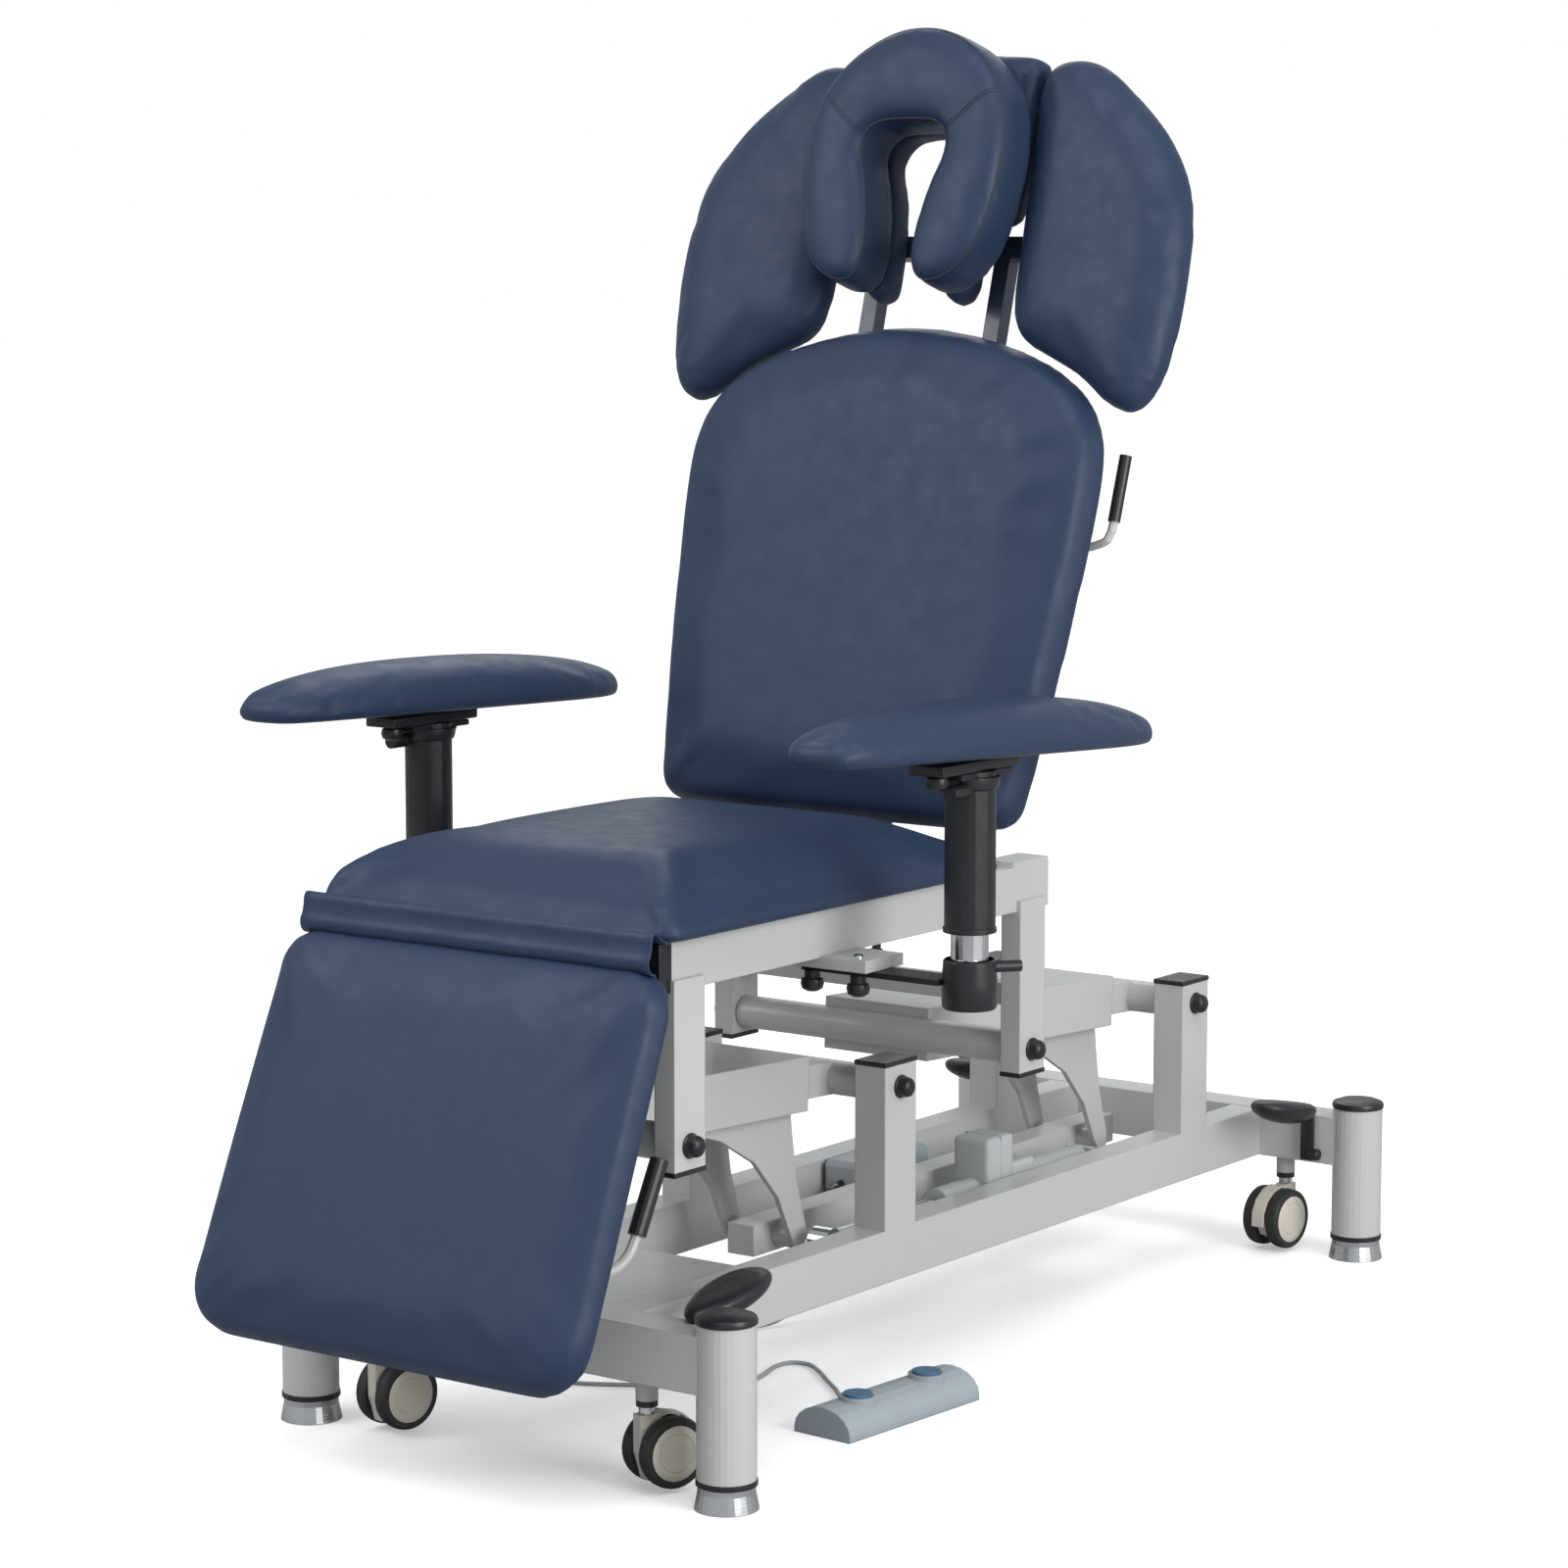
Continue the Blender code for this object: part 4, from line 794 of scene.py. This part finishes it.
def nut(name, place, way, body):
    """A plastic nut cover: a collar and a dome, facing outwards."""
    profile = [(0.0128, -0.0004), (0.0128, 0.0016), (0.0112, 0.0022), (0.0110, 0.0085),
               (0.0098, 0.0120), (0.0070, 0.0142), (0.0030, 0.0152), (0, 0.0154)]
    facing = Matrix.Rotation(way * math.pi / 2, 4, "Y")
    add(name, turned(profile, 24), LOOKS["black"], body, Matrix.Translation(place) @ facing)


def castor_details():
    """Tyres with a rounded tread, flat hubs with a fine groove, and a hood and ring over each pair."""
    tyre = [(0.0285, -0.0080), (0.0340, -0.0084), (0.0358, -0.0066), (0.0366, -0.0030), (0.0366, 0.0030),
            (0.0358, 0.0066), (0.0340, 0.0084), (0.0285, 0.0080)]
    hub = [(0.0, -0.0070), (0.0286, -0.0070), (0.0286, 0.0078), (0.0276, 0.0086), (0.0205, 0.0090),
           (0.0196, 0.0082), (0.0187, 0.0091), (0.0090, 0.0096), (0.0040, 0.0098), (0, 0.0098)]
    ring = [(0.0095, 0.0868), (0.0112, 0.0872), (0.0112, 0.0932), (0.0095, 0.0936)]
    arc = [math.radians(a) for a in (-10, 15, 40, 65, 90, 115, 140)]
    outer = [(0.020 + 0.0395 * math.cos(a), 0.040 + 0.0395 * math.sin(a)) for a in arc]
    inner = [(0.020 + 0.0372 * math.cos(a), 0.040 + 0.0372 * math.sin(a)) for a in reversed(arc)]
    for side, _ in SIDES:
        for end, _ in ENDS:
            name = f"{end}_{side}"
            spin = JOINTS[f"{name}_wheel_spin"]
            centre, axis = Vector(spin["pos_m"]), Vector(spin["axis"])
            body = f"{name}_castor_wheels"
            for letter, half in (("a", -1), ("b", 1)):
                out = (axis * half).to_track_quat("Z", "Y").to_matrix().to_4x4()
                place = Matrix.Translation(centre + axis * half * 0.0165) @ out
                rubber = add(f"{name}_tyre_{letter}", turned(tyre, 40), LOOKS["tyre"], body,
                             place)
                add(f"{name}_hub_{letter}", turned(hub, 36), LOOKS["cream"], body, place)
                if letter == "a":
                    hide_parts(body)

            swivel = Vector(JOINTS[f"{name}_castor_swivel"]["pos_m"])
            stem = Matrix.Translation((swivel.x, swivel.y, 0))
            turn = Matrix.Rotation(math.atan2(axis.y, axis.x), 4, "Z")
            bm = bmesh.new()
            low = [bm.verts.new((-0.0085, y, z)) for y, z in outer + inner]
            high = [bm.verts.new((0.0085, y, z)) for y, z in outer + inner]
            bm.faces.new(low)
            bm.faces.new(high)
            band(bm, low, high)
            add(f"{name}_hood_rim", bm, LOOKS["cream"], f"{name}_castor_fork", stem @ turn)
            add(f"{name}_stem_ring", turned(ring, 24), LOOKS["black"], f"{name}_castor_stem", stem)


def tread():
    """An egg-shaped pedal pad with a dished top."""
    bm = bmesh.new()
    rows, around = 14, 28

    def spot(r, k):
        v, a = math.pi * r / rows, 2 * math.pi * k / around
        x, y, z = math.sin(a) * math.sin(v), math.cos(a) * math.sin(v), math.cos(v)
        wide = 0.0290 * (1.0 + 0.16 * y)
        dish = -0.0075 * max(0.0, z) ** 2 * (1 - 0.55 * (x * x + y * y))
        return x * wide, y * 0.0640, z * (0.0155 if z > 0 else 0.0185) + dish

    rings = [[bm.verts.new(spot(r, k)) for k in range(around)] for r in range(1, rows)]
    top, foot = bm.verts.new(spot(0, 0)), bm.verts.new(spot(rows, 0))
    for low, high in zip(rings, rings[1:]):
        band(bm, low, high)
    for k in range(around):
        j = (k + 1) % around
        bm.faces.new((top, rings[0][k], rings[0][j]))
        bm.faces.new((foot, rings[-1][j], rings[-1][k]))
    return bm


def pedals():
    """Foot pedals: the tread, the lever that goes down to the beam, and its boss."""
    pin = [(0.0, -0.0010), (0.0070, -0.0010), (0.0070, 0.0105), (0.0055, 0.0120), (0, 0.0124)]
    for side, way in SIDES:
        for end, end_way in ENDS:
            name = f"{end}_{side}"
            hinge = Vector(JOINTS[f"{name}_pedal_press"]["pos_m"])
            body = f"{name}_pedal"
            tilt = Matrix.Rotation(-end_way * math.radians(11), 4, "X")
            flip = Matrix.Rotation(0 if end_way < 0 else math.pi, 4, "Z")
            reach = 0.034 if end_way < 0 else 0.048
            place = Matrix.Translation(hinge + Vector((0, -end_way * reach, 0.0655))) @ tilt @ flip
            egg = add(f"{name}_pedal_tread", tread(), LOOKS["black"], body, place)
            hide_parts(body)
            lever = block((-0.0085, -0.0025, -0.0080), (0.0085, 0.0035, 0.0600), 0.0018, 2)
            add(f"{name}_pedal_lever", lever, LOOKS["black"], body,
                Matrix.Translation(hinge + Vector((0, end_way * 0.0070, 0))))
            facing = Matrix.Rotation(way * math.pi / 2, 4, "Y")
            add(f"{name}_pedal_boss", turned(pin, 20), LOOKS["black"], body,
                Matrix.Translation(hinge + Vector((way * 0.005, end_way * 0.0070, 0))) @ facing)


def armrest_fittings():
    """Pad plate and knobs, the sleeve's lip and head, the bar's knobs, the plate's screw and the clamp."""
    knob = [(0.0048, -0.0120), (0.0048, -0.0060), (0.0112, -0.0040), (0.0124, 0.0010), (0.0110, 0.0062),
            (0.0062, 0.0092), (0, 0.0098)]
    lip = [(0.0262, 0.5424), (0.0276, 0.5430), (0.0276, 0.5475), (0.0264, 0.5482)]
    head = [(0.0262, 0.6890), (0.0285, 0.6905), (0.0300, 0.6960), (0.0300, 0.7020), (0.0262, 0.7030)]
    screw = [(0.0, -0.001), (0.0075, -0.001), (0.0075, 0.0012), (0.0050, 0.0030), (0, 0.0034)]
    collar = [(0.0262, 0.4640), (0.0282, 0.4665), (0.0286, 0.4900), (0.0270, 0.5135), (0.0252, 0.5150)]
    down = Matrix.Rotation(math.pi, 4, "X")
    for side, way in SIDES:
        pad, post, bar = (f"{side}_armrest_{part}" for part in ("pad", "post", "bar"))
        x, y, _ = JOINTS[f"{side}_armrest_swivel"]["pos_m"]
        bar_y = y - 0.024

        def black(name, bm, body, place=Matrix.Translation((x, y, 0))):
            add(name, bm, LOOKS["black"], body, place)

        for k, at in enumerate((-0.060, 0.030)):
            place = Matrix.Translation((x, y + at, 0.7020)) @ down
            black(f"{side}_pad_knob_{k}", turned(knob, 24), pad, place)
        black(f"{side}_pad_plate", block((-0.021, -0.080, 0.7086), (0.021, 0.060, 0.7200), 0.002, 2), pad)
        black(f"{side}_sleeve_lip", turned(lip, 36), post)
        black(f"{side}_sleeve_head", turned(head, 36), post)
        for k, at in enumerate((0.121, 0.179)):
            place = Matrix.Translation((x - way * at, bar_y, 0.4760)) @ down
            black(f"{side}_bar_knob_{k}", turned(knob, 24), bar, place)
        add(f"{side}_plate_screw", turned(screw, 20), LOOKS["chrome"], "upper_frame",
            Matrix.Translation((way * 0.238, bar_y, 0.5082)))
        black(f"{side}_clamp_collar", turned(collar, 36), bar)


# ---- foot switch cord ---------------------------------------------------------------------
CORD_RADIUS, CORD_LENGTH = 0.0025, 1.6
COIL_PLACE, COIL_MIDDLE, COIL_PITCH, FLOOR_Z = Vector((-0.200, -0.360, 0)), 0.0275, 0.0053, 0.0030
COIL_STEPS = 28  # points to a turn
# The cord's points, measured from the base's middle: those before the coil and those after it.
CORD_FROM_BOX = [(-0.082, 0.0547, 0.150), (-0.082, 0.0400, 0.1490), (-0.084, 0.0200, 0.134),
                 (-0.087, 0.0060, 0.100), (-0.090, -0.0020, 0.055), (-0.095, -0.0180, 0.020),
                 (-0.102, -0.0450, 0.0050), (-0.116, -0.0900, 0.0032), (-0.140, -0.1500, 0.0032),
                 (-0.165, -0.2000, 0.0032), (-0.188, -0.2500, 0.0032), (-0.2080, -0.2900, 0.0032),
                 (-0.2245, -0.3150, 0.0030)]
CORD_TO_SWITCH = [(-0.1720, -0.3905, 0.0052), (-0.145, -0.3868, 0.0032), (-0.115, -0.3780, 0.0032),
                  (-0.080, -0.3580, 0.0032), (-0.040, -0.3320, 0.0032), (0.000, -0.3070, 0.0032),
                  (0.024, -0.2740, 0.0032), (0.020, -0.2360, 0.0032), (0.010, -0.2000, 0.0032),
                  (0.014, -0.1760, 0.0032), (0.035, -0.1710, 0.0032), (0.060, -0.1870, 0.0032),
                  (0.090, -0.2130, 0.0032), (0.119, -0.2380, 0.0036), (0.148, -0.2690, 0.0055),
                  (0.1655, -0.2900, 0.0084)]


def ease(value, low, high):
    """0 below the range, 1 above it, and a smooth change between."""
    t = min(1.0, max(0.0, (value - low) / (high - low)))
    return t * t * (3 - 2 * t)


def coil(middle):
    """Three and a quarter turns: outside on the floor, inside, inside above, then outside above."""
    spots = []
    for step in range(3 * COIL_STEPS + 8):
        n = step / COIL_STEPS
        across = 0.5 - ease(n, 0.72, 1.0) + ease(n, 2.38, 2.66)
        up = ease(n, 1.62, 1.84)
        radius, angle = middle + across * COIL_PITCH, math.pi + 2 * math.pi * n
        height = FLOOR_Z + up * COIL_PITCH
        spots.append(COIL_PLACE + Vector((radius * math.cos(angle), radius * math.sin(angle), height)))
    return spots


def cord_route():
    """The whole centreline; the coil's size takes up what the real length leaves."""
    low, high = COIL_MIDDLE - 0.006, COIL_MIDDLE + 0.006
    for _ in range(30):
        middle = (low + high) / 2
        ring = coil(middle)
        spots = smooth_path([*CORD_FROM_BOX, *ring[::3], *CORD_TO_SWITCH], 6)
        low, high = (middle, high) if length_of(spots) < CORD_LENGTH else (low, middle)
    return spots


def pointing(spot, before):
    """A place at a spot, its Z axis pointing on from the spot before it."""
    return Matrix.Translation(spot) @ (spot - before).to_track_quat("Z", "Y").to_matrix().to_4x4()


def foot_cord():
    """The cord, with a strain relief at the switch and a gland at the control box."""
    route = [BASE @ p for p in cord_route()]
    cord = add("foot_switch_cord", swept(route, CORD_RADIUS, 10), LOOKS["cord"], "base")
    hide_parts("cord_to_control_box", "cord_to_foot_switch", "cord_coil")
    boot = [(0.0027, -0.0240), (0.0034, -0.0238), (0.0036, -0.0200), (0.0033, -0.0196), (0.0033, -0.0170),
            (0.0041, -0.0166), (0.0042, -0.0120), (0.0038, -0.0116), (0.0038, -0.0090), (0.0047, -0.0086),
            (0.0050, 0.0010)]
    relief = add("switch_strain_relief", turned(boot, 20), LOOKS["switch"], "base",
                 pointing(route[-1], route[-8]))
    gland = add("box_strain_relief", turned(boot, 20), LOOKS["black"], "base",
                pointing(route[0], route[8]))


WHITE, BLACK, CHROME = (0.52, 0.53, 0.515), (0.012, 0.012, 0.015), (0.66, 0.67, 0.69)
LOOKS = {
    "vinyl": vinyl(),
    "thread": plastic("seam_thread", (0.020, 0.028, 0.046), 0.60),
    "white": paint("white_powder_coat", WHITE),
    "navy": paint("navy_powder_coat", (0.030, 0.045, 0.080), 0.34),
    "black": plastic("black_plastic", BLACK, 0.36),
    "grey": plastic("grey_housing", (0.34, 0.38, 0.41), 0.45, edge=0.004),
    "motor": plastic("motor_housing", (0.46, 0.48, 0.48), 0.42, edge=0.006),
    "switch": plastic("foot_switch_grey", (0.33, 0.375, 0.405), 0.42, edge=0.003),
    "blue": plastic("button_blue", (0.060, 0.145, 0.240), 0.38),
    "cream": plastic("cream_plastic", (0.66, 0.61, 0.53), 0.32),
    "tyre": plastic("tyre_rubber", (0.020, 0.026, 0.020), 0.55),
    "cord": plastic("cord_sheath", (0.36, 0.38, 0.40), 0.50),
    "chrome": steel("chrome", CHROME, 0.10),
    "brushed": steel("brushed_steel", (0.60, 0.61, 0.63), 0.26),
    "armrest": two_tone("armrest_tube_and_clamp", (0, 0, 1), 0.5152, (BLACK, 0.42, 0.0), (CHROME, 0.12, 1.0)),
    "back_lever": lever_look("back_lever_tube_and_grip", BACK, Vector((0, 0, 1)), 0.382 + 0.030),
    "leg_lever": lever_look("leg_lever_tube_and_grip", LEG, Vector((0, 1, 0)), -0.302 + 0.046),
}

bpy.context.scene.view_settings.view_transform = "Standard"
camera()
surroundings()
lamps()
pale_floor()
dress_nodes()
seat_pad()
leg_pad()
back_pad()
wing_pads()
head_centre()
cradle = face_pad()
arm_pads()
plump_pads()
cradle_seams(cradle)
flap()
motor()
frame_caps()
castor_details()
pedals()
armrest_fittings()
foot_cord()
